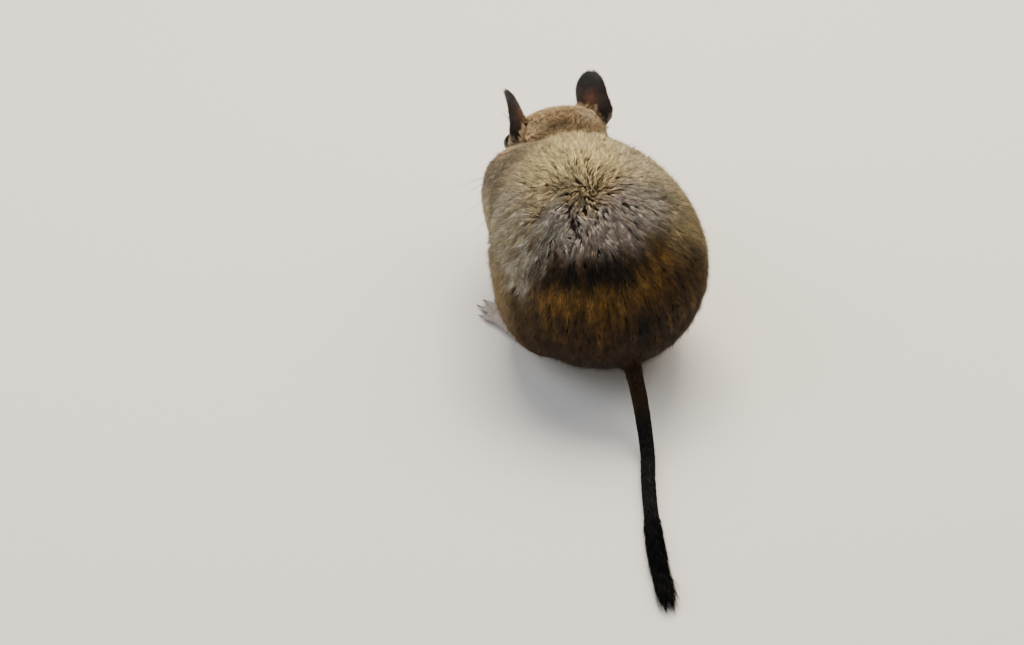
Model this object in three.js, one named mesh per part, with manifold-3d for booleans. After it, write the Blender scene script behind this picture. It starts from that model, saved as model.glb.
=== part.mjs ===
// A degu, a small rodent with a brush at the end of its tail, crouched on all fours with its head lowered to feed.
// It faces +Y with its right side at +X, and its feet and the tail lie on the floor at Z = 0. Sizes are in millimetres.
// The solids have the outline of the coat. Each part is a closed body, set a small gap from what it grows from.
import * as THREE from "three";
import { mergeVertices } from "three/addons/utils/BufferGeometryUtils.js";
import Module from "manifold-3d";

const wasm = await Module();
wasm.setup();

// Driving dimensions
const gap = 0.3;
const bodyLength = 108;
const bodyWidth = 85;
const bodyHeight = 85;
const bellyHeight = 3;
const headLength = 53;
const headWidth = 42;
const headHeight = 35;
const headPlace = { x: -4, y: 69.5, z: 47.5, pitch: 42, yaw: 13 };
const earLength = 22.5;
const earWidth = 21;
const earThickness = 1.2;
const eyeRadius = 4.9;
const hindFootLength = 36;
const forePawLength = 15;
const tailRadius = 2.9;
const tailReach = 149;
const brushLength = 46;
const brushLockLength = 11;

const degree = Math.PI / 180;
const vector = (x, y, z) => new THREE.Vector3(x, y, z);
const sides = [["left", -1], ["right", 1]];

// A repeatable source of numbers from 0 to 1
function seeded(seed) {
  let state = seed;
  return () => {
    state = (state * 1664525 + 1013904223) % 4294967296;
    return state / 4294967296;
  };
}

// Solids and geometries
function geometryFrom(points, triangles) {
  const geometry = new THREE.BufferGeometry().setFromPoints(points);
  geometry.setIndex(triangles);
  return geometry;
}

function merged(geometry) {
  const bare = new THREE.BufferGeometry();
  bare.setAttribute("position", geometry.getAttribute("position"));
  if (geometry.index) bare.setIndex(geometry.index);
  return mergeVertices(bare, 1e-4);
}

function solidOf(geometry) {
  const whole = merged(geometry);
  const vertProperties = new Float32Array(whole.getAttribute("position").array);
  const triVerts = new Uint32Array(whole.index.array);
  const solid = new wasm.Manifold(new wasm.Mesh({ numProp: 3, vertProperties, triVerts }));
  if (solid.volume() > 0) return solid;
  for (let i = 0; i < triVerts.length; i += 3) {
    [triVerts[i + 1], triVerts[i + 2]] = [triVerts[i + 2], triVerts[i + 1]];
  }
  return new wasm.Manifold(new wasm.Mesh({ numProp: 3, vertProperties, triVerts }));
}

function geometryOf(solid) {
  const mesh = solid.getMesh();
  const positions = new Float32Array(mesh.numVert * 3);
  for (let i = 0; i < mesh.numVert; i++) {
    positions.set(mesh.vertProperties.subarray(i * mesh.numProp, i * mesh.numProp + 3), i * 3);
  }
  const geometry = new THREE.BufferGeometry();
  geometry.setAttribute("position", new THREE.BufferAttribute(positions, 3));
  geometry.setIndex(new THREE.BufferAttribute(new Uint32Array(mesh.triVerts), 1));
  return geometry;
}

function joined(solids) {
  return solids.reduce((whole, solid) => whole.add(solid));
}

function cutBy(solid, cutters) {
  return cutters.reduce((rest, cutter) => rest.subtract(cutter), solid);
}

function largest(solid) {
  return solid.decompose().reduce((best, body) => (body.volume() > best.volume() ? body : best));
}

// The same body with its surface moved outwards, used to leave the gap between neighbours
function grown(solid, distance = gap) {
  const geometry = merged(geometryOf(solid));
  geometry.computeVertexNormals();
  const position = geometry.getAttribute("position");
  const normal = geometry.getAttribute("normal");
  for (let i = 0; i < position.count; i++) {
    const moved = vector(normal.getX(i), normal.getY(i), normal.getZ(i)).multiplyScalar(distance);
    position.setXYZ(i, position.getX(i) + moved.x, position.getY(i) + moved.y, position.getZ(i) + moved.z);
  }
  return solidOf(geometry);
}

function moved(solid, matrix) {
  return solidOf(geometryOf(solid).applyMatrix4(matrix));
}

// Stations are [centre, side, up, down]: a point on the spine and how far the section reaches to each side, up and down.
// The body is round at both ends over the lengths of its caps. Swells are soft bulges: [centre, push, spread].
function lofted({ stations, rings, around, capStart, capEnd, sideways = vector(1, 0, 0), power = 2, swells = [] }) {
  const spine = new THREE.CatmullRomCurve3(stations.map((s) => s[0]), false, "catmullrom");
  const reach = new THREE.CatmullRomCurve3(stations.map((s) => vector(s[1], s[2], s[3])), false, "catmullrom");
  const places = [];
  for (let i = 0; i <= rings; i++) {
    const t = 0.5 - 0.5 * Math.cos((Math.PI * i) / rings);
    places.push({ centre: spine.getPoint(t), along: spine.getTangent(t), reach: reach.getPoint(t), run: 0 });
  }
  for (let i = 1; i <= rings; i++) {
    places[i].run = places[i - 1].run + places[i].centre.distanceTo(places[i - 1].centre);
  }
  const total = places[rings].run;
  const points = [places[0].centre];
  for (const place of places.slice(1, rings)) {
    const fromStart = Math.min(1, place.run / capStart);
    const fromEnd = Math.min(1, (total - place.run) / capEnd);
    const round = Math.sqrt(1 - (1 - fromStart) ** 2) * Math.sqrt(1 - (1 - fromEnd) ** 2);
    const across = sideways.clone().addScaledVector(place.along, -sideways.dot(place.along)).normalize();
    const upward = new THREE.Vector3().crossVectors(across, place.along).normalize();
    for (let k = 0; k < around; k++) {
      const angle = (2 * Math.PI * k) / around;
      const c = Math.cos(angle);
      const s = Math.sin(angle);
      const x = place.reach.x * Math.sign(c) * Math.abs(c) ** (2 / power);
      const y = (s > 0 ? place.reach.y : place.reach.z) * Math.sign(s) * Math.abs(s) ** (2 / power);
      points.push(place.centre.clone().addScaledVector(across, x * round).addScaledVector(upward, y * round));
    }
  }
  points.push(places[rings].centre);
  const triangles = [];
  const last = points.length - 1;
  for (let k = 0; k < around; k++) {
    const next = (k + 1) % around;
    triangles.push(0, 1 + k, 1 + next);
    for (let i = 0; i < rings - 2; i++) {
      const a = 1 + i * around;
      const b = a + around;
      triangles.push(a + k, b + k, b + next, a + k, b + next, a + next);
    }
    const end = 1 + (rings - 2) * around;
    triangles.push(last, end + next, end + k);
  }
  return solidOf(geometryFrom(points.map((point) => swollen(point, swells)), triangles));
}

function swollen(point, swells) {
  const whole = point.clone();
  for (const [centre, push, spread] of swells) {
    whole.addScaledVector(push, Math.exp(-point.distanceToSquared(centre) / spread ** 2));
  }
  return whole;
}

// A ball stretched along its own axes, then turned about X, Y and Z in degrees
function ellipsoid(centre, radii, turn = [0, 0, 0], across = 20, down = 14) {
  const geometry = new THREE.SphereGeometry(1, across, down);
  geometry.scale(...radii);
  geometry.applyMatrix4(new THREE.Matrix4().makeRotationFromEuler(
    new THREE.Euler(turn[0] * degree, turn[1] * degree, turn[2] * degree),
  ));
  geometry.translate(centre.x, centre.y, centre.z);
  return solidOf(geometry);
}

function block(low, high) {
  const geometry = new THREE.BoxGeometry(high.x - low.x, high.y - low.y, high.z - low.z);
  geometry.translate((low.x + high.x) / 2, (low.y + high.y) / 2, (low.z + high.z) / 2);
  return solidOf(geometry);
}

const underFloor = block(vector(-150, -250, -60), vector(150, 200, 0));

// Torso: a fat egg, highest over the shoulders, that narrows towards the chest and bends a little to the left.
// Its right shoulder is lower than the hump beside it.
const bodyMiddle = bellyHeight + bodyHeight / 2;
function torsoShape() {
  const half = bodyLength / 2;
  const side = bodyWidth / 2;
  const rise = bodyHeight / 2;
  const stations = [
    [0, -1.0, -0.14, 0.93, 0.86, 0.8],
    [0, -0.6, -0.08, 0.98, 0.92, 0.92],
    [0, -0.2, -0.02, 1.0, 0.99, 0.98],
    [-0.04, 0.2, 0.01, 0.95, 1.01, 1.0],
    [-0.13, 0.6, 0.01, 0.8, 0.92, 0.93],
    [-0.2, 1.0, -0.03, 0.66, 0.78, 0.8],
  ].map(([x, y, z, s, u, d]) => [vector(x * side, y * half, bodyMiddle + z * rise), s * side, u * rise, d * rise]);
  const swells = [[vector(0.4 * side, 0.28 * half, bodyMiddle + 0.9 * rise), vector(-2.2, -0.8, -4.2), 14]];
  return lofted({ stations, rings: 20, around: 26, capStart: 0.86 * half, capEnd: 0.78 * half, power: 2.06, swells });
}

// Head, built facing +Y about its own middle, then lowered and turned to the left
const headMatrix = new THREE.Matrix4()
  .makeTranslation(headPlace.x, headPlace.y, headPlace.z)
  .multiply(new THREE.Matrix4().makeRotationZ(headPlace.yaw * degree))
  .multiply(new THREE.Matrix4().makeRotationX(-headPlace.pitch * degree));
const noseTip = vector(0, 0.49 * headLength, -0.13 * headHeight);
const eyeCentre = vector(0.335 * headWidth, 0.075 * headLength, 0.2 * headHeight);
const eyeOut = vector(0.88, 0.28, 0.38).normalize();
const earRoot = vector(0.37 * headWidth, -0.2 * headLength, 0.15 * headHeight);

function skullShape() {
  const side = headWidth / 2;
  const rise = headHeight / 2;
  const stations = [
    [-0.47, -0.16, 0.74, 0.74, 0.82],
    [-0.3, -0.07, 0.92, 0.93, 0.96],
    [-0.11, 0, 1.0, 1.0, 1.0],
    [0.06, 0, 0.92, 0.97, 0.97],
    [0.21, -0.05, 0.68, 0.83, 0.8],
    [0.35, -0.16, 0.48, 0.66, 0.62],
    [0.5, -0.28, 0.36, 0.46, 0.44],
  ].map(([y, z, s, u, d]) => [vector(0, y * headLength, z * rise), s * side, u * rise, d * rise]);
  const swells = [
    [noseTip, vector(0, 1.5, 0.9), 3.4],
    [vector(0, 0.31 * headLength, -0.42 * headHeight), vector(0, 1.0, -1.2), 5.5],
  ];
  for (const [, across] of sides) {
    swells.push([vector(across * 7, 0.4 * headLength, -0.19 * headHeight), vector(across * 2.2, 0.6, -0.4), 4.8]);
    swells.push([vector(across * 18, -0.1 * headLength, -0.26 * headHeight), vector(across * 1.6, 0, -0.8), 9]);
    swells.push([vector(across * 14, 0.1 * headLength, 0.34 * headHeight), vector(across * 0.7, 0.3, 0.9), 5]);
    swells.push([vector(across * 14, -0.25 * headLength, 0.24 * headHeight), vector(across * 1.2, -0.8, 0.8), 6]);
  }
  return lofted({ stations, rings: 21, around: 28, capStart: 13, capEnd: 8, power: 2.1, swells });
}

// Lids: a soft rim round each eye, a little longer from corner to corner than it is high
function lids() {
  return sides.map(([, side]) => {
    const lid = new THREE.TorusGeometry(eyeRadius * 0.98, 1.1, 5, 16);
    lid.scale(1.1, 0.96, 1);
    lid.applyQuaternion(new THREE.Quaternion().setFromUnitVectors(vector(0, 0, 1), sideVector(eyeOut, side)));
    const rim = sideVector(eyeCentre, side).addScaledVector(sideVector(eyeOut, side), 2.2);
    lid.translate(rim.x, rim.y, rim.z);
    return solidOf(lid);
  });
}

function sideVector(v, side) {
  return vector(v.x * side, v.y, v.z);
}

function eyeShape(side, extra = 0) {
  const radius = eyeRadius + extra;
  return ellipsoid(sideVector(eyeCentre, side), [radius, radius, radius], [0, 0, 0], 16, 10);
}

// The place where a line from inside the skull leaves its surface, moved out by an extra distance
function onSkin(solid, from, towards, extra = 0) {
  const mesh = new THREE.Mesh(geometryOf(solid), new THREE.MeshBasicMaterial({ side: THREE.DoubleSide }));
  const way = towards.clone().normalize();
  const hit = new THREE.Raycaster(from, way).intersectObject(mesh).pop();
  return hit.point.addScaledVector(way, extra);
}

// Nostrils, the line of the mouth and the cleft of the lip, taken out of the head
function headHollows(solid) {
  const inside = vector(0, 0.3 * headLength, -0.16 * headHeight);
  const hollows = sides.map(([, side]) => {
    const nostril = onSkin(solid, inside, vector(side * 0.16, 1, 0.14));
    return ellipsoid(nostril, [0.7, 1.9, 1.2], [20, 0, side * 35], 8, 6);
  });
  const mouth = [[-1, 0.15, -0.75], [-0.85, 0.7, -0.8], [0, 1, -0.62], [0.85, 0.7, -0.8], [1, 0.15, -0.75]];
  hollows.push(lofted({
    stations: mouth.map((way) => [onSkin(solid, inside, vector(...way)), 1.5, 0.35, 0.35]),
    rings: 12, around: 6, capStart: 2, capEnd: 2, sideways: vector(0, 0.8, -0.6),
  }));
  const cleft = [0, 0.5, 1].map((share) => onSkin(solid, inside, vector(0, 1, -0.08 - 0.54 * share)));
  hollows.push(lofted({
    stations: cleft.map((p) => [p, 0.3, 1, 1]),
    rings: 5, around: 6, capStart: 1, capEnd: 1,
  }));
  return hollows;
}

// Ear: a thin cup, narrow and curled at its root and open at its rounded top, that faces out to its own side
function earShape(side) {
  const axis = vector(0.25 * side, -0.16, 1).normalize();
  const opening = vector(0.87 * side, 0.5, 0);
  opening.addScaledVector(axis, -opening.dot(axis)).normalize();
  const across = new THREE.Vector3().crossVectors(axis, opening).multiplyScalar(side);
  const root = sideVector(earRoot, side);
  const rows = 9;
  const columns = 8;
  const middle = (u, v) => {
    const widen = 0.46 + 0.54 * Math.sin((Math.PI / 2) * Math.min(1, u / 0.46));
    const top = Math.sqrt(Math.max(0, 1 - Math.max(0, (u - 0.36) / 0.65) ** 2));
    const notch = v < 0 ? 1 - 0.1 * Math.exp(-(((u - 0.62) / 0.1) ** 2)) : 1;
    const half = (earWidth / 2) * widen * top * notch;
    const curl = (185 - 125 * Math.min(1, u * 1.3)) * degree * 0.5;
    const radius = half / Math.min(1, curl);
    const angle = v * curl;
    const lean = -1.5 * u * u;
    return root.clone()
      .addScaledVector(axis, earLength * u)
      .addScaledVector(across, radius * Math.sin(angle))
      .addScaledVector(opening, radius * (1 - Math.cos(angle)) - half * 0.35 + lean);
  };
  const front = [];
  const back = [];
  for (let i = 0; i <= rows; i++) {
    const u = 1 - (1 - i / rows) ** 1.5;
    for (let j = 0; j <= columns; j++) {
      const v = (2 * j) / columns - 1;
      const point = middle(u, v);
      const alongHeight = middle(Math.min(1, u + 0.01), v).sub(middle(u - 0.01, v));
      const alongWidth = middle(u, v + 0.01).sub(middle(u, v - 0.01));
      const normal = alongHeight.cross(alongWidth).normalize();
      const half = (earThickness / 2) * (1 - 0.35 * Math.max(u, Math.abs(v)) ** 3);
      front.push(point.clone().addScaledVector(normal, half));
      back.push(point.clone().addScaledVector(normal, -half));
    }
  }
  return solidOf(sheetBetween(front, back, rows, columns));
}

// Two like grids of points closed into one body, with both faces split the same way
function sheetBetween(front, back, rows, columns) {
  const wide = columns + 1;
  const shift = front.length;
  const triangles = [];
  for (let i = 0; i < rows; i++) {
    for (let j = 0; j < columns; j++) {
      const a = i * wide + j;
      const [b, c, d] = [a + 1, a + wide, a + wide + 1];
      triangles.push(a, b, d, a, d, c);
      triangles.push(shift + a, shift + d, shift + b, shift + a, shift + c, shift + d);
    }
  }
  const rim = [];
  for (let j = 0; j < columns; j++) rim.push(j);
  for (let i = 0; i < rows; i++) rim.push(i * wide + columns);
  for (let j = columns; j > 0; j--) rim.push(rows * wide + j);
  for (let i = rows; i > 0; i--) rim.push(i * wide);
  rim.forEach((a, n) => {
    const b = rim[(n + 1) % rim.length];
    triangles.push(a, shift + a, shift + b, a, shift + b, b);
  });
  return geometryFrom([...front, ...back], triangles);
}

// Neck: from inside the chest to inside the back of the head
function neckShape() {
  const back = vector(0, -0.2 * headLength, -0.2 * headHeight).applyMatrix4(headMatrix);
  const chest = vector(-5, 0.2 * bodyLength, bodyMiddle - 2);
  const middle = chest.clone().lerp(back, 0.62).add(vector(-5.5, 0, -1));
  const stations = [[chest, 34, 35, 36], [middle, 31.5, 26, 31], [back.add(vector(-2.5, 0, 0)), 27.5, 17, 24]];
  return lofted({ stations, rings: 12, around: 22, capStart: 12, capEnd: 13 });
}

// Hind leg: the haunch and the folded shank. Its foot lies flat, splayed outwards.
const haunchCentre = vector(0.315 * bodyWidth, -0.05 * bodyLength, 26);
const heel = vector(0.34 * bodyWidth, 0.025 * bodyLength, 4.2);
const hindSplay = 22;
const hindAhead = vector(Math.sin(hindSplay * degree), Math.cos(hindSplay * degree), 0);
function hindLegShape(side) {
  const haunch = ellipsoid(sideVector(haunchCentre, side), [13.5, 28, 21], [-12, side * 16, side * -6], 18, 12);
  const knee = sideVector(haunchCentre, side).add(vector(side * 3, 13, -10));
  const ankle = sideVector(heel, side).add(vector(0, 2, 2.5));
  const stations = [
    [knee, 9, 9, 9],
    [knee.clone().lerp(ankle, 0.5), 7.5, 7.5, 7.5],
    [ankle, 5.4, 5.4, 5.4],
  ];
  const shank = lofted({ stations, rings: 6, around: 10, capStart: 6, capEnd: 3 });
  return joined([haunch, shank]);
}

// A toe with its claw: a bent finger with a pad, and a thin curved nail at the end
function toe(root, ahead, length, radius, clawLength) {
  const arch = vector(0, 0, radius * 0.5);
  const tip = root.clone().addScaledVector(ahead, length);
  const knuckle = root.clone().lerp(tip, 0.5).add(arch);
  const end = vector(tip.x, tip.y, radius * 0.7);
  const sideways = new THREE.Vector3().crossVectors(ahead, vector(0, 0, 1)).normalize();
  const finger = lofted({
    stations: [[root, radius * 1.05, radius, radius], [knuckle, radius, radius, radius], [end, radius, radius, radius]],
    rings: 5, around: 6, capStart: radius, capEnd: radius, sideways,
  });
  const clawRoot = end.clone().addScaledVector(ahead, -radius * 0.7).add(vector(0, 0, radius * 0.25));
  const clawMiddle = end.clone().addScaledVector(ahead, clawLength * 0.5).add(vector(0, 0, radius * 0.3));
  const clawTip = vector(end.x, end.y, 0.35).addScaledVector(ahead, clawLength);
  const claw = lofted({
    stations: [[clawRoot, 0.85, 0.85, 0.85], [clawMiddle, 0.6, 0.65, 0.6], [clawTip, 0.3, 0.3, 0.3]],
    rings: 3, around: 4, capStart: 0.5, capEnd: 0.5, sideways,
  });
  return [finger, claw];
}

function hindFootShape(side) {
  const ahead = sideVector(hindAhead, side);
  const across = vector(Math.cos(hindSplay * degree) * side, -Math.sin(hindSplay * degree), 0);
  const from = sideVector(heel, side).addScaledVector(ahead, -3.5);
  const at = (share, height) => from.clone().addScaledVector(ahead, share * hindFootLength).setZ(height);
  const sole = lofted({
    stations: [
      [at(0, 3.6), 3.6, 3.8, 4.1],
      [at(0.2, 3.5), 3.9, 3.8, 4.0],
      [at(0.42, 3.0), 4.5, 3.0, 3.5],
      [at(0.66, 2.3), 5.4, 2.3, 2.9],
    ],
    rings: 9, around: 12, capStart: 4, capEnd: 3.5, sideways: across.clone().multiplyScalar(side),
  });
  const pieces = [sole];
  const toes = [
    [-4.3, 0.5, 0.2, 1.25, 20],
    [-2.6, 0.6, 0.36, 1.55, 9],
    [-0.3, 0.62, 0.4, 1.6, 1],
    [2.0, 0.6, 0.37, 1.55, -7],
    [3.9, 0.54, 0.27, 1.4, -17],
  ];
  for (const [offset, start, length, radius, fan] of toes) {
    const root = at(start, radius + 0.4).addScaledVector(across, offset);
    const way = ahead.clone().applyAxisAngle(vector(0, 0, 1), side * fan * degree);
    pieces.push(...toe(root, way, length * hindFootLength - 4, radius, 3.4));
  }
  return joined(pieces);
}

// Foreleg: shoulder, upper arm and forearm down to the wrist. The paw lies flat just behind the chin.
const shoulder = vector(0.27 * bodyWidth, 0.3 * bodyLength, 36);
const elbow = vector(0.27 * bodyWidth, 0.28 * bodyLength, 18);
const wrist = vector(0.2 * bodyWidth, 0.42 * bodyLength, 6.0);
function foreLegShape(side) {
  const upper = ellipsoid(sideVector(shoulder, side), [10.5, 15, 24], [12, side * 8, 0], 16, 10);
  const joints = [elbow, elbow.clone().lerp(wrist, 0.5).add(vector(0.5, 0, 0.5)), wrist];
  const reaches = [10, 7.2, 4.6];
  const stations = joints.map((p, i) => [sideVector(p, side), reaches[i], reaches[i], reaches[i]]);
  const lower = lofted({ stations, rings: 8, around: 10, capStart: 7, capEnd: 2 });
  return joined([upper, lower]);
}

function forePawShape(side) {
  const splay = 8;
  const ahead = vector(side * Math.sin(splay * degree), Math.cos(splay * degree), 0);
  const across = vector(side * Math.cos(splay * degree), -Math.sin(splay * degree), 0);
  const from = sideVector(wrist, side).addScaledVector(ahead, -0.5);
  const at = (share, height) => from.clone().addScaledVector(ahead, share * forePawLength).setZ(height);
  const palm = lofted({
    stations: [[at(0, 4.6), 3.6, 3.2, 3.6], [at(0.28, 3.1), 4.0, 2.7, 3.3], [at(0.58, 2.3), 4.5, 2.1, 2.7]],
    rings: 7, around: 12, capStart: 3, capEnd: 3, sideways: across.clone().multiplyScalar(side),
  });
  const pieces = [palm];
  const digits = [
    [-3.1, 0.42, 0.46, 1.2, 18],
    [-1.1, 0.5, 0.56, 1.3, 6],
    [1.1, 0.5, 0.56, 1.3, -5],
    [3.1, 0.42, 0.46, 1.2, -17],
  ];
  for (const [offset, start, length, radius, fan] of digits) {
    const root = at(start, radius + 0.5).addScaledVector(across, offset);
    const way = ahead.clone().applyAxisAngle(vector(0, 0, 1), side * fan * degree);
    pieces.push(...toe(root, way, length * forePawLength, radius, 2.4));
  }
  return joined(pieces);
}

// Tail: out from under the rump, down to the floor and straight back
const tailRest = tailRadius - 0.3;
const tailPath = new THREE.CatmullRomCurve3([
  vector(4.5, -0.36 * bodyLength, 26),
  vector(5, -0.5 * bodyLength, 20),
  vector(5.5, -0.6 * bodyLength, 11),
  vector(4.7, -0.72 * bodyLength, tailRest + 0.5),
  vector(1.5, -0.86 * bodyLength, tailRest),
  vector(-1.5, -1.04 * bodyLength, tailRest),
  vector(-3.6, -1.2 * bodyLength, tailRest),
  vector(-4.8, -tailReach, tailRest),
], false, "centripetal");

function tailTube(from, to, rings, capStart, capEnd) {
  const stations = [];
  const steps = 8;
  for (let i = 0; i <= steps; i++) {
    const share = from + ((to - from) * i) / steps;
    const radius = tailRadius * (1.16 - 0.2 * Math.min(1, share / 0.4));
    stations.push([tailPath.getPointAt(share), radius, radius, radius]);
  }
  return lofted({ stations, rings, around: 10, capStart, capEnd });
}

// One flat, tapered lock that leaves the tail and bends back along it
function lock(root, along, outward, length, width, thickness) {
  const flat = new THREE.Vector3().crossVectors(along, outward).normalize();
  const stations = [0, 0.34, 0.68, 1].map((share) => {
    const lift = outward.clone().multiplyScalar(length * 0.16 * Math.sin(share * 2));
    const point = root.clone().addScaledVector(along, length * share).add(lift);
    const taper = 1 - 0.72 * share ** 1.6;
    return [point, (width / 2) * taper, (thickness / 2) * taper, (thickness / 2) * taper];
  });
  return lofted({ stations, rings: 4, around: 4, capStart: 0.6, capEnd: length * 0.3, sideways: flat });
}

function brushLocks() {
  const random = seeded(7);
  const locks = [];
  const tailRun = tailPath.getLength();
  const rows = 7;
  for (let row = 0; row < rows; row++) {
    const back = brushLength * (1 - row / (rows - 1)) + 1;
    const share = 1 - back / tailRun;
    const centre = tailPath.getPointAt(share);
    const along = tailPath.getTangentAt(share);
    const across = new THREE.Vector3().crossVectors(along, vector(0, 0, 1)).normalize();
    const count = 5;
    for (let k = 0; k < count; k++) {
      const angle = (-22 + (224 * (k + 0.5 * (row % 2))) / (count - 0.5) + 10 * (random() - 0.5)) * degree;
      const outward = across.clone().multiplyScalar(Math.cos(angle)).add(vector(0, 0, Math.sin(angle)));
      const length = brushLockLength * (0.55 + 0.45 * (row / (rows - 1))) * (0.85 + 0.3 * random());
      const root = centre.clone().addScaledVector(outward, tailRadius * 0.35);
      locks.push(lock(root, along, outward, length, 3.6, 1.6));
    }
  }
  return locks;
}

// The whole animal, put together and parted
const torsoWhole = torsoShape();
const skull = joined([skullShape(), ...lids()]);
const headWhole = moved(skull, headMatrix);
const hindLegs = sides.map(([, side]) => hindLegShape(side));
const foreLegs = sides.map(([, side]) => foreLegShape(side));
const hindFeet = sides.map(([, side]) => hindFootShape(side));
const forePaws = sides.map(([, side]) => forePawShape(side));

const tailCuts = [0.36, 0.64];
const tailWhole = tailTube(0, 1, 40, 3, 6);
const tailSlice = (share) => {
  const plate = new THREE.BoxGeometry(60, gap, 60);
  plate.applyQuaternion(new THREE.Quaternion().setFromUnitVectors(vector(0, 1, 0), tailPath.getTangentAt(share)));
  const at = tailPath.getPointAt(share);
  plate.translate(at.x, at.y, at.z);
  return solidOf(plate);
};

const materials = {
  coat: new THREE.MeshStandardMaterial({ color: 0x6f5b40, roughness: 0.9 }),
  skin: new THREE.MeshStandardMaterial({ color: 0x4b3f3b, roughness: 0.7 }),
  feet: new THREE.MeshStandardMaterial({ color: 0x8d8782, roughness: 0.8 }),
  eye: new THREE.MeshStandardMaterial({ color: 0x0c0908, roughness: 0.08 }),
  tail: new THREE.MeshStandardMaterial({ color: 0x1d1916, roughness: 0.85 }),
};

const degu = new THREE.Group();
const headGroup = new THREE.Group();
headGroup.applyMatrix4(headMatrix);
headGroup.updateMatrixWorld(true);

// A solid in the animal's frame becomes a named mesh in its group's frame
function addPart(name, solid, material, group = degu) {
  const geometry = geometryOf(largest(solid));
  geometry.applyMatrix4(group.matrixWorld.clone().invert());
  const flat = geometry.toNonIndexed();
  flat.computeVertexNormals();
  const mesh = new THREE.Mesh(flat, material);
  mesh.name = name;
  group.add(mesh);
}

const torsoRoom = grown(torsoWhole);
const hindRoom = hindLegs.map((solid) => grown(solid));
const foreRoom = foreLegs.map((solid) => grown(solid));
const tailRoom = grown(tailWhole);
const headRoom = grown(headWhole);
const ears = sides.map(([, side]) => cutBy(moved(earShape(side), headMatrix), [headRoom]));
const earRoom = ears.map((solid) => grown(solid));
const neckWhole = cutBy(neckShape(), [torsoRoom, headRoom, ...foreRoom, ...earRoom]);

addPart("torso", cutBy(torsoWhole, [...hindRoom, ...foreRoom, tailRoom, headRoom, underFloor]), materials.coat);
addPart("neck", cutBy(neckWhole, [underFloor]), materials.coat);

const sockets = sides.map(([, side]) => eyeShape(side, gap));
const headCarved = moved(cutBy(skull, [...sockets, ...headHollows(skull)]), headMatrix);
addPart("head", headCarved, materials.coat, headGroup);
sides.forEach(([name, side], i) => {
  addPart("ear_" + name, ears[i], materials.skin, headGroup);
  addPart("eye_" + name, moved(eyeShape(side), headMatrix), materials.eye, headGroup);
  addPart("hindleg_" + name, cutBy(hindLegs[i], [grown(hindFeet[i]), underFloor]), materials.coat);
  addPart("hindfoot_" + name, cutBy(hindFeet[i], [underFloor]), materials.feet);
  addPart("foreleg_" + name, cutBy(foreLegs[i], [grown(forePaws[i]), headRoom, hindRoom[i], underFloor]), materials.coat);
  addPart("forepaw_" + name, cutBy(forePaws[i], [underFloor]), materials.feet);
});

const brushed = joined([tailWhole, ...brushLocks()]);
const slices = tailCuts.map((share) => tailSlice(share));
const tailNames = ["tail_base", "tail_middle", "tail_brush"];
const lengths = cutBy(brushed, [underFloor, ...slices]).decompose();
lengths.sort((a, b) => b.volume() - a.volume());
lengths.length = tailNames.length;
lengths.sort((a, b) => b.boundingBox().max[1] - a.boundingBox().max[1]);
tailNames.forEach((name, i) => addPart(name, lengths[i], materials.tail));
degu.add(headGroup);

// The origin is on the floor under the middle of the whole
const box = new THREE.Box3().setFromObject(degu, true);
const middle = box.getCenter(new THREE.Vector3());
degu.position.set(-middle.x, -middle.y, -box.min.z);

export default degu;
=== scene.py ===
# A degu crouched to feed, life size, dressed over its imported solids.
# One skin goes over the flesh, then its coat, the eyes, the claws and the whiskers.
# Sizes are in millimetres and angles in degrees unless a note says otherwise.
import bpy
import bmesh
import math
import numpy as np
from mathutils import Matrix, Vector
from mathutils.bvhtree import BVHTree
from mathutils.kdtree import KDTree


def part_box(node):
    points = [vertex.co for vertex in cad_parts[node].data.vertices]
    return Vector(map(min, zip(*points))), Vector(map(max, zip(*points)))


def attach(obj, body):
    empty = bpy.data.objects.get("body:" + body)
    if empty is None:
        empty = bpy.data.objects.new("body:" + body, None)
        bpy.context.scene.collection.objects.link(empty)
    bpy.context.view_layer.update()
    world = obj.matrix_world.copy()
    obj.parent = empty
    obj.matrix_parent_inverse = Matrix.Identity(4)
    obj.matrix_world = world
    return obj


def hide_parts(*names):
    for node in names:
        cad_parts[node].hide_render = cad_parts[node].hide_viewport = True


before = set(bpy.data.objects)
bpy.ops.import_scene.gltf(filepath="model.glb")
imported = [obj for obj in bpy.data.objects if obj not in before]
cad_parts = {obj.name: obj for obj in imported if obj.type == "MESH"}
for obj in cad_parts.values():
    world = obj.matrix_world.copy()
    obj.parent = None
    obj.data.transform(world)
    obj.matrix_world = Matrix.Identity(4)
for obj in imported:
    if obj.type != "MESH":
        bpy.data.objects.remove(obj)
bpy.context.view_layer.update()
mm = 0.001
sides = {"left": -1, "right": 1}


def linear(hexColour):
    parts = [int(hexColour[i:i + 2], 16) / 255 for i in (1, 3, 5)]
    return np.array([c / 12.92 if c <= 0.04045 else ((c + 0.055) / 1.055) ** 2.4 for c in parts])


def addNode(tree, kind, settings=None, values=None, links=None):
    node = tree.nodes.new(kind)
    for name, value in (settings or {}).items():
        setattr(node, name, value)
    for name, value in (values or {}).items():
        node.inputs[name].default_value = value
    for name, source in (links or {}).items():
        tree.links.new(source, node.inputs[name])
    return node


def unit(vectors):
    return vectors / np.maximum(np.linalg.norm(vectors, axis=-1, keepdims=True), 1e-9)


def ramp(values, low, high):
    # 0 below low and 1 above high, with soft ends; low may be the larger
    share = np.clip((values - low) / (high - low), 0, 1)
    return share * share * (3 - 2 * share)


def bump(points, centre, spread):
    # 1 at a place, fading over its spread
    return np.exp(-np.sum(((points - np.array(centre)) / np.array(spread)) ** 2, axis=-1))


def deselectAll():
    if bpy.context.object and bpy.context.object.mode != "OBJECT":
        bpy.ops.object.mode_set(mode="OBJECT")
    bpy.ops.object.select_all(action="DESELECT")


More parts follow.
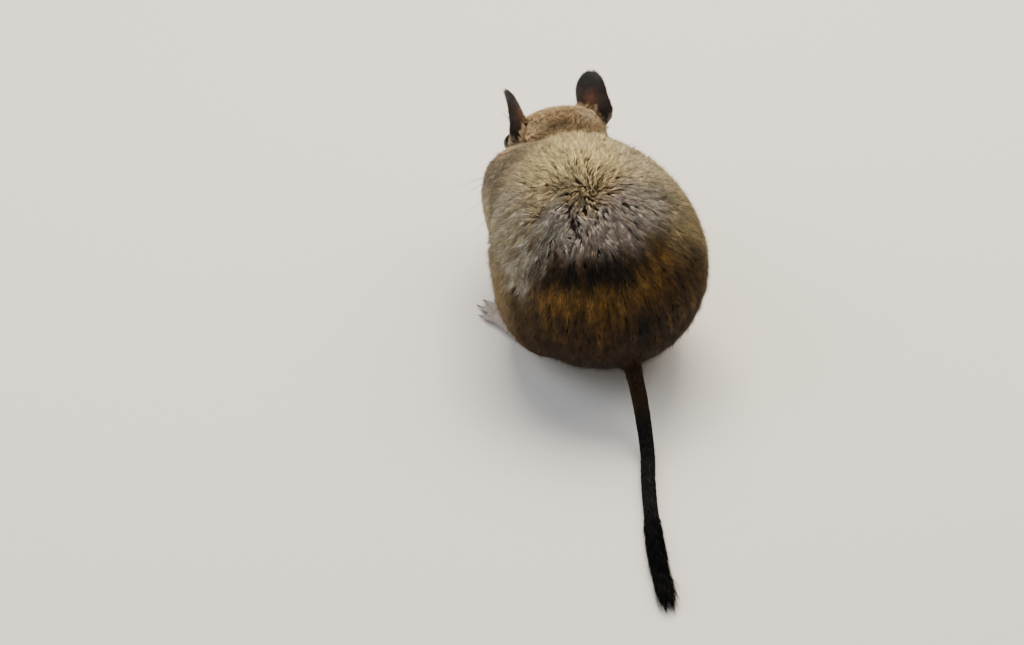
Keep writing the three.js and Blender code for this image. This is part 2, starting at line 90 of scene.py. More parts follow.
def pick(objects):
    deselectAll()
    for each in objects:
        each.select_set(True)
    bpy.context.view_layer.objects.active = objects[0]


def applyModifier(piece, kind, **settings):
    pick([piece])
    modifier = piece.modifiers.new(kind.lower(), kind)
    for name, value in settings.items():
        setattr(modifier, name, value)
    bpy.ops.object.modifier_apply(modifier=modifier.name)


def addObject(name, data):
    made = bpy.data.objects.new(name, data)
    bpy.context.scene.collection.objects.link(made)
    return made


def readAll(items, name, width, kind=float):
    # one property of all the points, edges or corners of a mesh, a row for each
    values = np.empty(len(items) * width, kind)
    items.foreach_get(name, values)
    return values.reshape(-1, width)


def pointsOf(mesh):
    return readAll(mesh.vertices, "co", 3) / mm


def normalsOf(mesh):
    return readAll(mesh.vertices, "normal", 3)


def edgesOf(mesh):
    return readAll(mesh.edges, "vertices", 2, np.int32)


def trianglesOf(mesh):
    return readAll(mesh.loops, "vertex_index", 1, np.int32).reshape(-1, 3)


def setPoints(mesh, points):
    mesh.vertices.foreach_set("co", (points * mm).ravel())
    mesh.update()


def meshPiece(name, points, faces):
    # points in millimetres, faces all with the same number of corners
    mesh = bpy.data.meshes.new(name)
    corners = faces.shape[1]
    mesh.vertices.add(len(points))
    mesh.vertices.foreach_set("co", (points * mm).ravel())
    mesh.loops.add(faces.size)
    mesh.loops.foreach_set("vertex_index", faces.ravel().astype(np.int32))
    mesh.polygons.add(len(faces))
    mesh.polygons.foreach_set("loop_start", np.arange(0, faces.size, corners, dtype=np.int32))
    mesh.update(calc_edges=True)
    mesh.validate()
    return addObject(name, mesh)


def bmeshPiece(name, shape):
    mesh = bpy.data.meshes.new(name)
    shape.to_mesh(mesh)
    shape.free()
    return addObject(name, mesh)


def paint(piece, colours):
    layer = piece.data.color_attributes.new("coatColour", "FLOAT_COLOR", "POINT")
    rgba = np.ones((len(colours), 4), np.float32)
    rgba[:, :3] = np.clip(colours, 0, 1)
    layer.data.foreach_set("color", rgba.ravel())


def smoothShaded(piece):
    piece.data.polygons.foreach_set("use_smooth", np.ones(len(piece.data.polygons), bool))


def newMaterial(name, values):
    # values go on the shader's own sockets
    material = bpy.data.materials.new(name)
    material.use_nodes = True
    tree = material.node_tree
    shader = tree.nodes["Principled BSDF"]
    for socket, value in values.items():
        shader.inputs[socket].default_value = value
    return material, tree, shader


def grained(tree, size, dark, pale):
    # a fine grain in two tones: the grain itself, and its colour
    where = addNode(tree, "ShaderNodeTexCoord")
    grain = addNode(tree, "ShaderNodeTexNoise", values={"Scale": 1 / (size * mm), "Detail": 3},
                    links={"Vector": where.outputs["Object"]})
    tone = addNode(tree, "ShaderNodeMix", {"data_type": "RGBA"}, links={"Factor": grain.outputs["Fac"]},
                   values={6: (*linear(dark), 1), 7: (*linear(pale), 1)})
    return grain, tone.outputs[2]


def wayTo(turn, height):
    # the way to a place so far round the animal from its nose, and so far up
    turn, height = math.radians(turn), math.radians(height)
    return Vector((math.sin(turn) * math.cos(height), math.cos(turn) * math.cos(height), math.sin(height)))


# Camera, floor and light

torsoLow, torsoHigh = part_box("torso")
bodyCentre = np.array((torsoLow + torsoHigh) / 2) / mm

camera = dict(
    turn=-10,  # round the animal from straight behind
    pitch=38.3,  # down
    distance=872,  # from the middle of the body
    focal=2200,  # in pixels of the photograph
    frame=(1024, 645),
    bodyAt=(597, 250),  # where the middle of the body stands in the photograph
)


def makeCamera():
    back = wayTo(camera["turn"], camera["pitch"]) * Vector((1, -1, 1))
    pose = back.to_track_quat("Z", "Y")
    right, up = pose @ Vector((1, 0, 0)), pose @ Vector((0, 1, 0))
    wide, high = camera["frame"]
    x, y = camera["bodyAt"]
    ray = -back + right * ((x - wide / 2) / camera["focal"]) + up * ((high / 2 - y) / camera["focal"])
    made = addObject("camera", bpy.data.cameras.new("camera"))
    made.data.sensor_width = 36
    made.data.lens = camera["focal"] / wide * 36
    made.data.clip_start, made.data.clip_end = 0.01, 20
    made.location = (Vector(bodyCentre) - ray * (camera["distance"] / ray.length)) * mm
    made.rotation_mode = "QUATERNION"
    made.rotation_quaternion = pose
    bpy.context.scene.camera = made


def makeFloor():
    # matt studio paper: an even pale ground with no shine
    deselectAll()
    bpy.ops.mesh.primitive_plane_add(size=20)
    floor = bpy.context.object
    floor.name = "floor"
    material, tree, shader = newMaterial("matt studio paper", {"Roughness": 0.9, "Specular IOR Level": 0.2})
    tree.links.new(grained(tree, 2, "#d6d2c9", "#dcd8d0")[1], shader.inputs["Base Color"])
    floor.data.materials.append(material)


lights = [  # azimuth 0 is in front of the nose; energy in watts, distance and size in metres
    dict(name="key", azimuth=10, height=64, distance=1.1, size=0.8, energy=25, colour="#fff4e2"),
    dict(name="camera side", azimuth=205, height=42, distance=1.2, size=1.0, energy=2.6, colour="#f1f4ff"),
    dict(name="left side", azimuth=-88, height=40, distance=1.1, size=0.8, energy=7.5, colour="#eef3ff"),
    dict(name="right side", azimuth=75, height=52, distance=1.1, size=0.8, energy=8, colour="#fff6ea"),
]


def makeLights():
    for each in lights:
        data = bpy.data.lights.new(each["name"], "AREA")
        data.energy = each["energy"]
        data.size = each["size"]
        data.color = linear(each["colour"])
        light = addObject(each["name"], data)
        away = wayTo(each["azimuth"], each["height"])
        light.location = Vector(bodyCentre) * mm + away * each["distance"]
        light.rotation_mode = "QUATERNION"
        light.rotation_quaternion = away.to_track_quat("Z", "Y")
    world = bpy.data.worlds.new("soft room")
    bpy.context.scene.world = world
    world.use_nodes = True
    ground = world.node_tree.nodes["Background"]
    ground.inputs["Color"].default_value = (*linear("#e9eef6"), 1)
    ground.inputs["Strength"].default_value = 0.28


makeCamera()
makeFloor()
makeLights()
print("camera, floor and lights made")


# Places on the animal, in the frame's millimetres

head = dict(length=53, width=42, height=35, pitch=42, yaw=13, eyeRadius=4.9)
head["turn"] = np.array(Matrix.Rotation(math.radians(head["yaw"]), 3, "Z")
                        @ Matrix.Rotation(math.radians(-head["pitch"]), 3, "X"))
eyeCentres = {name: np.array(sum(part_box("eye_" + name), Vector()) / 2) / mm for name in sides}
head["origin"] = (eyeCentres["left"] + eyeCentres["right"]) / 2 - head["turn"] @ np.array(
    [0, 0.075 * head["length"], 0.2 * head["height"]])
# in the head's own axes, for the right side: the way the eye looks, the nose, and the ear's root and axes
eyeOut = unit(np.array([0.88, 0.28, 0.38]))
noseTip = np.array([0, 0.49 * head["length"], -0.13 * head["height"]])
earRoot = np.array([0.37 * head["width"], -0.2 * head["length"], 0.15 * head["height"]])
earAxis = unit(np.array([0.25, -0.16, 1]))
earOpening = unit(np.array([0.87, 0.5, 0]) - earAxis * (np.array([0.87, 0.5, 0]) @ earAxis))


def toHead(points):
    return (points - head["origin"]) @ head["turn"]


def fromHead(points):
    return points @ head["turn"].T + head["origin"]


def mirrored(vector, side):
    return np.array(vector) * np.array([side, 1, 1])


whorl = np.array([-8.0, 24.0, 87.0])  # where the fur of the hump parts
clefts = [(-17, 28.4, 84.5), (-10.1, 32.3, 87), (-10, 17, 84.1), (-27.2, 19.6, 76.5), (-3.8, 21.3, 86.3),
          (-24.5, 9.3, 74.1), (-15.4, 9, 79.2)]  # short partings round it, darkened for their dark roots and as painted shade
tailLine = [(4.4, -5, 26), (4.9, -20.1, 20), (5.4, -30.9, 11), (4.6, -43.9, 3.1), (1.4, -59, 2.6),
            (-1.6, -78.4, 2.6), (-3.7, -95.7, 2.6), (-4.9, -115.1, 2.6)]
brushFrom = -72  # the brush begins here, along Y

flesh = ["torso", "neck", "head", "ear_left", "ear_right", "hindleg_left", "hindleg_right", "hindfoot_left",
         "hindfoot_right", "foreleg_left", "foreleg_right", "forepaw_left", "forepaw_right",
         "tail_base", "tail_middle", "tail_brush"]
partOf = {name: i for i, name in enumerate(flesh)}
feet = ("hindfoot", "forepaw")


def isPart(labels, *names):
    wanted = [i for name, i in partOf.items() if name.startswith(names)]
    return np.isin(labels, wanted)


def isTrunk(labels):
    return ~isPart(labels, "head", "ear", "tail", *feet)


def earPlaces(points, normals, labels):
    # for each ear: its side, which points it has, and of every point the height up it,
    # the place across it and how far it faces the opening
    own = toHead(points)
    for side in sides.values():
        mine = isPart(labels, "ear") & (own[:, 0] * side > 0)
        local = mirrored(own - mirrored(earRoot, side), side)
        facing = mirrored(normals @ head["turn"], side) @ earOpening
        yield side, mine, local @ earAxis, local @ np.cross(earAxis, earOpening), facing


def surfaceTree():
    points, faces, labels = [], [], []
    shift = 0
    for name in flesh:
        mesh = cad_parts[name].data
        points.append(pointsOf(mesh))
        faces.append(trianglesOf(mesh) + shift)
        labels.append(np.full(len(mesh.polygons), partOf[name]))
        shift += len(mesh.vertices)
    faces = np.concatenate(faces)
    return BVHTree.FromPolygons(np.concatenate(points).tolist(), faces.tolist()), np.concatenate(labels)


solidTree, solidLabels = surfaceTree()


def nearestPart(points):
    return np.array([solidLabels[solidTree.find_nearest(p)[2]] for p in points.tolist()])


# Skin: the flesh nodes made into one surface, then let in by the depth of the coat

skinSettings = dict(
    grow=0.36,  # closes the gaps between the solids
    voxel=0.42,
    triangles=188000,
    brushCore=(2.3, 0.7),  # radius of the tail inside its brush, from its start to its tip
)


def grownCopy(name):
    shape = bmesh.new()
    shape.from_mesh(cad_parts[name].data)
    bmesh.ops.remove_doubles(shape, verts=shape.verts, dist=1e-6)
    if name.startswith("ear"):
        bmesh.ops.subdivide_edges(shape, edges=shape.edges, cuts=1, use_grid_fill=True)
        for _ in range(2):
            bmesh.ops.smooth_vert(shape, verts=shape.verts, factor=0.35)
    shape.normal_update()
    for point in shape.verts:
        point.co += point.normal * (skinSettings["grow"] * (0.5 if name.startswith("ear") else 1) * mm)
    return bmeshPiece(name + " copy", shape)


def lineAlong(controls, steps):
    # a smooth line through the controls, as points and directions
    controls = np.array(controls, float)
    padded = np.vstack([2 * controls[0] - controls[1], controls, 2 * controls[-1] - controls[-2]])
    places = []
    for i in range(steps):
        t = i / (steps - 1) * (len(controls) - 1)
        k = min(int(t), len(controls) - 2)
        f = t - k
        a, b, c, d = padded[k:k + 4]
        places.append(0.5 * (2 * b + (c - a) * f + (2 * a - 5 * b + 4 * c - d) * f ** 2
                             + (3 * b - a - 3 * c + d) * f ** 3))
    places = np.array(places)
    return places, unit(np.gradient(places, axis=0))


tailPoints, tailWays = lineAlong(tailLine, 160)


def brushCore():
    inside = tailPoints[:, 1] < brushFrom + 6
    places, ways = tailPoints[inside], tailWays[inside]
    start, end = skinSettings["brushCore"]
    around = 12  # sides of the core
    rings = []
    for i, (place, way) in enumerate(zip(places, ways)):
        share = i / (len(places) - 1)
        radius = (start + (end - start) * share) * math.sqrt(max(0.02, 1 - max(0, share - 0.93) / 0.07))
        across = unit(np.cross(way, [0, 0, 1]))
        up = np.cross(across, way)
        angles = np.arange(around) * 2 * math.pi / around
        rings.append(place + radius * (np.outer(np.cos(angles), across) + np.outer(np.sin(angles), up)))
    points = np.vstack([places[:1]] + rings + [places[-1:]])
    shape = bmesh.new()
    made = [shape.verts.new(p * mm) for p in points]
    last = len(made) - 1
    for k in range(around):
        n = (k + 1) % around
        shape.faces.new([made[0], made[1 + n], made[1 + k]])
        for i in range(len(rings) - 1):
            a = 1 + i * around
            shape.faces.new([made[a + k], made[a + n], made[a + around + n], made[a + around + k]])
        a = 1 + (len(rings) - 1) * around
        shape.faces.new([made[a + k], made[a + n], made[last]])
    bmesh.ops.recalc_face_normals(shape, faces=shape.faces)
    return bmeshPiece("brush core", shape)


def eyeDistance(points):
    return np.min([np.linalg.norm(points - eyeCentres[name], axis=1) for name in sides], axis=0)


furDepth = {  # how far the skin lies below the tips of the fur
    "torso": 5.5, "neck": 4.4, "hindleg": 4.6, "foreleg": 3.2, "hindfoot": 0.42, "forepaw": 0.42, "ear": 0.28,
    "tail": 0.75, "tail_brush": 0.1,
}
crownDepth, belly = 2.4, 2.0  # on the crown, and how much less it is towards the floor


def coatDepth(points, labels):
    own = toHead(points)
    depth = np.zeros(len(points))
    for name, deep in furDepth.items():
        depth[isPart(labels, name)] = deep
    depth -= ramp(points[:, 2], 16, 4) * belly * (depth > 3)
    onHead = isPart(labels, "head")
    face = crownDepth - 1.0 * ramp(own[:, 1], -14, 2) - 0.85 * ramp(own[:, 1], 4, 21)
    depth[onHead] = (face + 0.5 * ramp(own[:, 2], -2, -10) * ramp(own[:, 1], 14, 2))[onHead]
    depth *= ramp(eyeDistance(points), head["eyeRadius"] + 0.4, head["eyeRadius"] + 4.0)
    depth *= 1 - 0.85 * (bump(own, noseTip, (4.5, 4.5, 4.5)) * onHead)
    return depth


def evened(values, edges, rounds):
    # spreads values over neighbouring points
    count = len(values)
    degree = np.bincount(edges.ravel(), minlength=count)
    for _ in range(rounds):
        total = np.bincount(edges[:, 0], values[edges[:, 1]], count) + np.bincount(
            edges[:, 1], values[edges[:, 0]], count)
        values = 0.5 * values + 0.5 * total / degree
    return values


earFold = dict(ridge=0.28, hollow=0.25)  # height of the ridges and depth of the hollow in the cup


def earFolds(points, normals, labels):
    # low ridges across the outer half of each cup, and a hollow at its root
    height = np.zeros(len(points))
    for side, mine, up, across, facing in earPlaces(points, normals, labels):
        cup = mine * ramp(facing, 0.1, 0.5)
        ridges = np.sin(up * 2.1 - 0.08 * across ** 2) * ramp(up, 3, 7) * ramp(up, 19, 15)
        ridges *= ramp(-across, 0, 4) * ramp(-across, 8.5, 6)
        hollow = bump(np.stack([up, across], 1), (5, 1), (4, 2.5))
        height += cup * (earFold["ridge"] * ridges - earFold["hollow"] * hollow)
    return height


def makeSkin():
    copies = [grownCopy(name) for name in flesh if name != "tail_brush"] + [brushCore()]
    pick(copies)
    bpy.ops.object.join()
    skin = bpy.context.object
    skin.name = skin.data.name = "skin"
    applyModifier(skin, "REMESH", mode="VOXEL", voxel_size=skinSettings["voxel"] * mm)
    points = pointsOf(skin.data)
    labels = nearestPart(points)
    own = toHead(points)
    onHead = isPart(labels, "head")
    soft = np.ones(len(points))  # how far each part is smoothed: least where the solids have fine shapes
    soft[onHead] = 0.6
    soft[isPart(labels, "ear", "tail")] = 0.4
    soft[isPart(labels, *feet)] = 0.12
    soft[onHead & (eyeDistance(points) < head["eyeRadius"] + 3)] = 0.12
    soft[onHead & (bump(own, noseTip, (8, 8, 8)) > 0.3)] = 0.1
    group = skin.vertex_groups.new(name="soft")
    for value in np.unique(soft):
        group.add(np.nonzero(soft == value)[0].tolist(), float(value), "REPLACE")
    applyModifier(skin, "SMOOTH", factor=0.5, iterations=24, vertex_group="soft")
    skin.vertex_groups.clear()
    triangles = 2 * len(skin.data.polygons)
    applyModifier(skin, "DECIMATE", ratio=min(1, skinSettings["triangles"] / triangles),
                  use_collapse_triangulate=True)
    mesh = skin.data
    points = pointsOf(mesh)
    labels = nearestPart(points)
    depth = evened(coatDepth(points, labels), edgesOf(mesh), 14)
    normals = normalsOf(mesh)
    setPoints(mesh, points - normals * (depth - earFolds(points, normals, labels))[:, None])
    smoothShaded(skin)
    print("skin made:", len(mesh.polygons), "triangles")
    return skin, labels, depth


skin, skinLabels, skinDepth = makeSkin()
skinPoints = pointsOf(skin.data)
skinNormals = normalsOf(skin.data)


# Markings: the coat's colours at any place, the same for skin and fur

palette = dict(  # tip and body of the hair, as it looks in even light; some tones are laid also as painted shade, as noted where they are laid
    khaki=("#c9b68a", "#86704b"),
    hump=("#d8c591", "#928054"),
    mauve=("#d7cabf", "#796c62"),
    band=("#1c120a", "#0e0905"),
    gold=("#b98c44", "#6a4c1f"),
    # the rump's own dark brown, darkened partly as painted shade
    rump=("#604319", "#261807"),
    # dark hair of the head's flecks, and also painted shade low on the rear, on the right of the rump and
    # behind the hump
    darkHairAndShade=("#30200c", "#150d04"),
    silver=("#dad3c2", "#857c6a"),
    flank=("#a8946c", "#6a5534"),
    crownFur=("#ead2a6", "#a8885c"),
    nape=("#dab98d", "#8f734e"),
    cheek=("#b9a98a", "#75664e"),
    cream=("#dccfae", "#b3a27e"),
    muzzle=("#a38c67", "#655338"),
    eyeRing=("#dfd0ac", "#b8a57e"),
    lid=("#231b17", "#231b17"),
    nose=("#6b4f47", "#573f39"),
    earBack=("#2b1c13", "#1d130d"),
    earRed=("#7d4a28", "#573119"),
    earTop=("#14100d", "#0f0c0a"),
    earRim=("#c4b4a4", "#93806f"),
    earCup=("#9a7d6c", "#836757"),
    # painted shade of the hollow in the ear's cup
    earHollowShade=("#5d4036", "#4a322a"),
    earTuft=("#eadab8", "#c4ac86"),
    foot=("#bcb8b0", "#94897f"),
    sole=("#8f7a70", "#806a60"),
    tail=("#130e0b", "#0b0806"),
    tailUnder=("#4d3c2b", "#33271c"),
    brush=("#070605", "#050404"),
)
slate = linear("#221d1b")  # the hair's root, dark all over the body
tones = {name: (linear(tip), linear(body)) for name, (tip, body) in palette.items()}

bandLine = [(-28, -0.5, 63), (-18, -7, 63.5), (-8, -9, 66), (2, -9.5, 66.5), (13, -7.5, 67.5)]
goldLine = [(-29, -4, 51), (-16, -12, 57), (-4, -16, 55), (8, -14.3, 59), (19, -4.5, 66)]
goldFlecks = [(-23.4, -8.6, 54.6), (-0.4, -18.8, 48.8), (7.9, -14.3, 59), (18.8, -4.4, 66.8)]
silverLine = [(-23, 11, 75), (-31, 9, 66), (-39, 10, 54)]
napeFoldShadow = [(-16, 86, 64), (-12, 89.5, 65.5), (-6, 91.5, 68.3), (-1, 92.4, 68.6)]  # painted shadow along the fold where the nape meets the hump


def fromLine(points, line):
    # distance to a line of straight lengths, and the share of the way along it
    line = np.array(line, float)
    far, along = np.full(len(points), 1e9), np.zeros(len(points))
    for k in range(len(line) - 1):
        step = line[k + 1] - line[k]
        share = np.clip((points - line[k]) @ step / (step @ step), 0, 1)
        reach = np.linalg.norm(points - line[k] - share[:, None] * step, axis=1)
        along = np.where(reach < far, (k + share) / (len(line) - 1), along)
        far = np.minimum(far, reach)
    return far, along


waveWays = unit(np.random.default_rng(3).normal(size=(7, 3)))


def patches(points, size):
    # soft irregular patches from -1 to 1, about as large as the size given
    total = np.zeros(len(points))
    for k, way in enumerate(waveWays):
        total += np.sin(points @ way * (2 + 0.35 * k) * math.pi / size / 2 + 1.7 * k)
    return np.clip(total / 3.2, -1, 1)


def streaks(points, size):
    # patches drawn out along the lie of the fur, which runs away from the whorl
    reach = points - whorl
    far = np.linalg.norm(reach, axis=1, keepdims=True)
    return patches(reach / np.maximum(far, 1) * 26 + far * 0.12, size)


tuftPlace = toHead(np.array([[9.5, 98.2, 67.2]]))[0]  # the pale tuft at the root of the right ear


def markings(points, normals, labels):
    # x is right, y towards the nose and z up from the floor; on the head, own is the same in its own axes
    own = toHead(points)
    count = len(points)
    tip = np.tile(tones["khaki"][0], (count, 1))
    body = np.tile(tones["khaki"][1], (count, 1))

    def lay(name, mask):
        for target, tone in ((tip, tones[name][0]), (body, tones[name][1])):
            target += (tone - target) * np.clip(mask, 0, 1)[:, None]

    spots, fine, streak = patches(points, 9), patches(points + 31, 4.5), streaks(points, 2.4)
    x, y, z = points.T
    onTorso = isPart(labels, "torso")
    around = np.linalg.norm(points - whorl, axis=1) + 2.5 * spots
    lay("flank", ramp(z, 66, 46) * 0.9)
    lay("hump", ramp(y + 3 * spots, 26, 40) * ramp(z, 70, 82))
    lay("hump", ramp(x, 2, 16) * ramp(z + 3 * spots, 66, 76) * 0.7)
    rear = ramp(y, 22, 2) * ramp(z, 82, 68) * (1 - 0.6 * ramp(x, 16, 26) * ramp(z, 58, 70))
    # the rump's brown on the rear and, weaker, lower down, where it partly stands for painted shade
    lay("rump", rear + ramp(z + 0.4 * y, 46, 26) * 0.6)
    # painted shade: the darkest brown low on the rear and on the right side of the rump, where shade falls
    lay("darkHairAndShade", ramp(y, 16, -8) * ramp(z, 56, 40) * (0.6 + 0.3 * spots))
    lay("darkHairAndShade", ramp(x, 8, 24) * ramp(y, 14, -6) * ramp(z, 74, 62) * (0.15 + 0.5 * spots))
    grey = ramp(y + 4 * fine, 29, 18) * ramp(around + 3 * fine, 9, 17) * ramp(around, 37, 31)
    lay("mauve", grey * ramp(np.abs(x - 2), 32, 20) * (0.85 + 0.3 * fine))
    lay("silver", ramp(x, 4, 18) * ramp(z, 68, 78) * ramp(y, 0, 12) * 0.4)
    silverFar, _ = fromLine(points, silverLine)
    lay("silver", ramp(silverFar + 2 * fine, 11, 4) * (0.6 + 0.6 * streak))
    lay("silver", ramp(x, -24, -38) * ramp(z, 40, 56) * ramp(y, -8, 8) * (0.45 + 0.4 * streak))
    lay("rump", ramp(x, -28, -38) * ramp(z, 50, 40) * ramp(y, 18, 6) * 0.6)
    goldFar, goldAlong = fromLine(points, goldLine)
    paler = 1 - 0.45 * goldAlong ** 2
    lay("gold", ramp(goldFar + 1.5 * spots, 8, 2) * (0.5 + 0.35 * fine + 0.3 * streak) * paler)
    for place in goldFlecks:
        lay("gold", bump(points, place, (4.5, 4, 4)) * (0.6 + 0.4 * streak))
    lay("gold", ramp(y, 8, -8) * ramp(z, 30, 42) * ramp(fine + 0.5 * spots + 0.4 * streak, 0.3, 1.0) * 0.5)
    bandFar, bandAlong = fromLine(points, bandLine)
    ends = (1 - 0.6 * ramp(bandAlong, 0.55, 1.0)) * (1 - 0.4 * ramp(bandAlong, 0.16, 0))
    lay("band", ramp(bandFar + 1.8 * spots + 2.6 * streak, 8.6, 2.2) * ends)
    lay("band", bump(points, (7, -18.5, 45), (9, 9, 11)) * (0.95 + 0.3 * streak))
    speckle = ramp(patches(points + 53, 2.4), -0.1, 0.5) * onTorso
    lay("darkHairAndShade", bump(points, (-11, 26, 86), (14, 11, 9)) * speckle * 0.9)
    lay("cream", ramp(z + 5 * normals[:, 2], 12, 2) * ramp(y, -8, 10))

    onNeck = isPart(labels, "neck")
    lay("cheek", onNeck * ramp(z, 84, 60) * 0.7)
    onHead = isPart(labels, "head") | (onNeck & (own[:, 1] > -24))
    lay("cheek", onHead * 1.0)
    lay("crownFur", onHead * ramp(own[:, 2], -3, 7))
    lay("nape", onHead * ramp(own[:, 1], -13, -23) * ramp(own[:, 2], -8, 2) * (0.7 + 0.25 * fine))
    napeFoldShadowFar, _ = fromLine(points, napeFoldShadow)
    lay("nape", onHead * ramp(fine + 0.5 * spots, 0.35, 0.95) * ramp(own[:, 2], 4, 10) * 0.4)
    lay("darkHairAndShade", onHead * ramp(patches(points + 71, 1.7), 0.2, 0.8) * ramp(own[:, 2], 2, 8) * 0.25)
    # painted shadow along the fold of the nape
    lay("darkHairAndShade", onHead * ramp(napeFoldShadowFar + 0.9 * fine, 1.9, 0.7) * 0.7)
    # painted shade on the top of the neck, behind the hump
    lay("darkHairAndShade", onNeck * ramp(z, 64, 69) * 0.3)
    lay("cream", onHead * ramp(own[:, 2], -8, -15))
    lay("muzzle", onHead * ramp(own[:, 1], 11, 21) * ramp(own[:, 2], -13, -6))
    eyeNear = eyeDistance(points)
    lay("eyeRing", onHead * ramp(eyeNear, head["eyeRadius"] + 4.4, head["eyeRadius"] + 2.0) * 0.9)
    lay("lid", onHead * ramp(eyeNear, head["eyeRadius"] + 1.7, head["eyeRadius"] + 1.1))
    lay("nose", onHead * ramp(bump(own, noseTip, (3.2, 3.4, 2.6)), 0.3, 0.5))

    onEar = isPart(labels, "ear")
    for side, mine, up, across, facing in earPlaces(points, normals, labels):
        lay("earTuft", onHead * bump(own, mirrored(tuftPlace, side), (4.4, 4.0, 4.0)) * (0.75 + 0.25 * side))
        cup = ramp(facing, -0.05, 0.3)
        lay("earBack", mine * 1.0)
        lay("earRed", mine * bump(np.stack([up, across], 1), (10, -1.5), (4.5, 3.2)) * 0.8)
        lay("earTop", mine * ramp(up, 14, 19))
        lay("earTuft", mine * (1 - cup) * ramp(up + 0.5 * across, 9, 4.5) * ramp(across, -1, 2.5))
        lay("earCup", mine * cup)
        # painted shade in the hollow at the root of the ear's cup
        lay("earHollowShade", mine * cup * bump(np.stack([up, across], 1), (6.5, -0.5), (4.5, 3.4)) * 0.85)
        lay("earRim", mine * ramp(np.abs(facing), 0.4, 0.15) * ramp(-across, 1, 4) * ramp(up, 21, 15) * 0.8)

    onFoot = isPart(labels, *feet)
    lay("foot", onFoot * 1.0)
    lay("sole", onFoot * ramp(normals[:, 2], -0.3, -0.7))
    onTail = isPart(labels, "tail")
    lay("tail", onTail * 1.0)
    lay("tailUnder", onTail * ramp(normals[:, 2], 0.0, -0.8) * ramp(y, -70, -50))
    lay("rump", onTail * ramp(y, -36, -24) * 0.6)
    lay("brush", onTail * ramp(y, brushFrom + 8, brushFrom - 6))
    # the partings darkened: partly the dark roots that show there, partly painted shade in the cleft
    deep = np.max([bump(points, place, (2.5, 2.5, 3.2)) for place in clefts], axis=0)
    dark = 1 - 0.82 * deep * onTorso
    tip *= dark[:, None]
    body *= dark[:, None]
    rooted = np.where(onEar | onFoot, 0.0, 0.5 + 0.35 * onTorso * ramp(z, 56, 70) - 0.25 * onNeck)
    root = body + (slate - body) * rooted[:, None]
    return tip, body, root


# Coat materials

def furMaterial(name, settings):
    # the painted colours, with a fine mottle that is a little larger than the hairs so that it shows
    material, tree, shader = newMaterial(name, {"Roughness": settings["roughness"], "IOR": 1.55,
                                                "Specular IOR Level": settings["specular"]})
    where = addNode(tree, "ShaderNodeTexCoord")
    colour = addNode(tree, "ShaderNodeAttribute", {"attribute_name": "coatColour"})
    mottle = addNode(tree, "ShaderNodeTexNoise", values={"Scale": 1 / (settings["mottle"] * mm), "Detail": 4},
                     links={"Vector": where.outputs["Object"]})
    share = addNode(tree, "ShaderNodeMapRange", links={"Value": mottle.outputs["Fac"]},
                    values={"From Min": 0.3, "From Max": 0.7, "To Min": settings["low"],
                            "To Max": settings["high"]})
    tone = addNode(tree, "ShaderNodeVectorMath", {"operation": "SCALE"},
                   links={"Vector": colour.outputs["Color"], "Scale": share.outputs["Result"]})
    tree.links.new(tone.outputs["Vector"], shader.inputs["Base Color"])
    if "hair" in settings:
        fine = addNode(tree, "ShaderNodeTexNoise", values={"Scale": 1 / (settings["hair"] * mm), "Detail": 3},
                       links={"Vector": where.outputs["Object"]})
        relief = addNode(tree, "ShaderNodeBump", values={"Strength": 0.6, "Distance": settings["hair"] * mm},
                         links={"Height": fine.outputs["Fac"]})
        tree.links.new(relief.outputs["Normal"], shader.inputs["Normal"])
    return material


# dry keratin hair: dull, with a faint shine where it lies flat; mottle is in millimetres
longFur = furMaterial("dry guard hair", dict(mottle=1.4, low=0.72, high=1.28, roughness=0.62, specular=0.22))
shortFur = furMaterial("short dense hair",
                       dict(mottle=0.9, low=0.78, high=1.22, roughness=0.68, specular=0.16))
# thin skin under the coat: matt, with the grain of the hair's roots
bareSkin = furMaterial("thin grained skin",
                       dict(mottle=1.1, low=0.8, high=1.2, roughness=0.62, specular=0.35, hair=0.35))


# Coat: hairs in numpy arrays, one joined mesh for each region of the body

random = np.random.default_rng(11)
skinCorners = trianglesOf(skin.data)
skinEdges = edgesOf(skin.data)

coat = dict(  # length and width in millimetres, bent hairs and straight hairs to a square millimetre
    torso=dict(length=11.0, width=0.37, bent=5.4, straight=3.3),
    under=dict(length=8.5, width=0.52, bent=1.8, straight=1.5),
    neck=dict(length=7.5, width=0.32, bent=6.0, straight=3.4),
    hindleg=dict(length=9.5, width=0.38, bent=5.0, straight=2.6),
    foreleg=dict(length=5.6, width=0.34, bent=4.5, straight=3.0),
    crown=dict(length=4.6, width=0.18, bent=6.5, straight=10.5),
    face=dict(length=3.4, width=0.19, bent=4.0, straight=9.8),
    muzzle=dict(length=1.9, width=0.14, bent=1.5, straight=15.0),
    ear=dict(length=1.7, width=0.13, bent=0.0, straight=10.0),
    foot=dict(length=1.9, width=0.15, bent=0.0, straight=8.0),
    tail=dict(length=3.8, width=0.26, bent=3.8, straight=3.4),
    brush=dict(length=10.5, width=0.3, bent=12.0, straight=8.0),
)
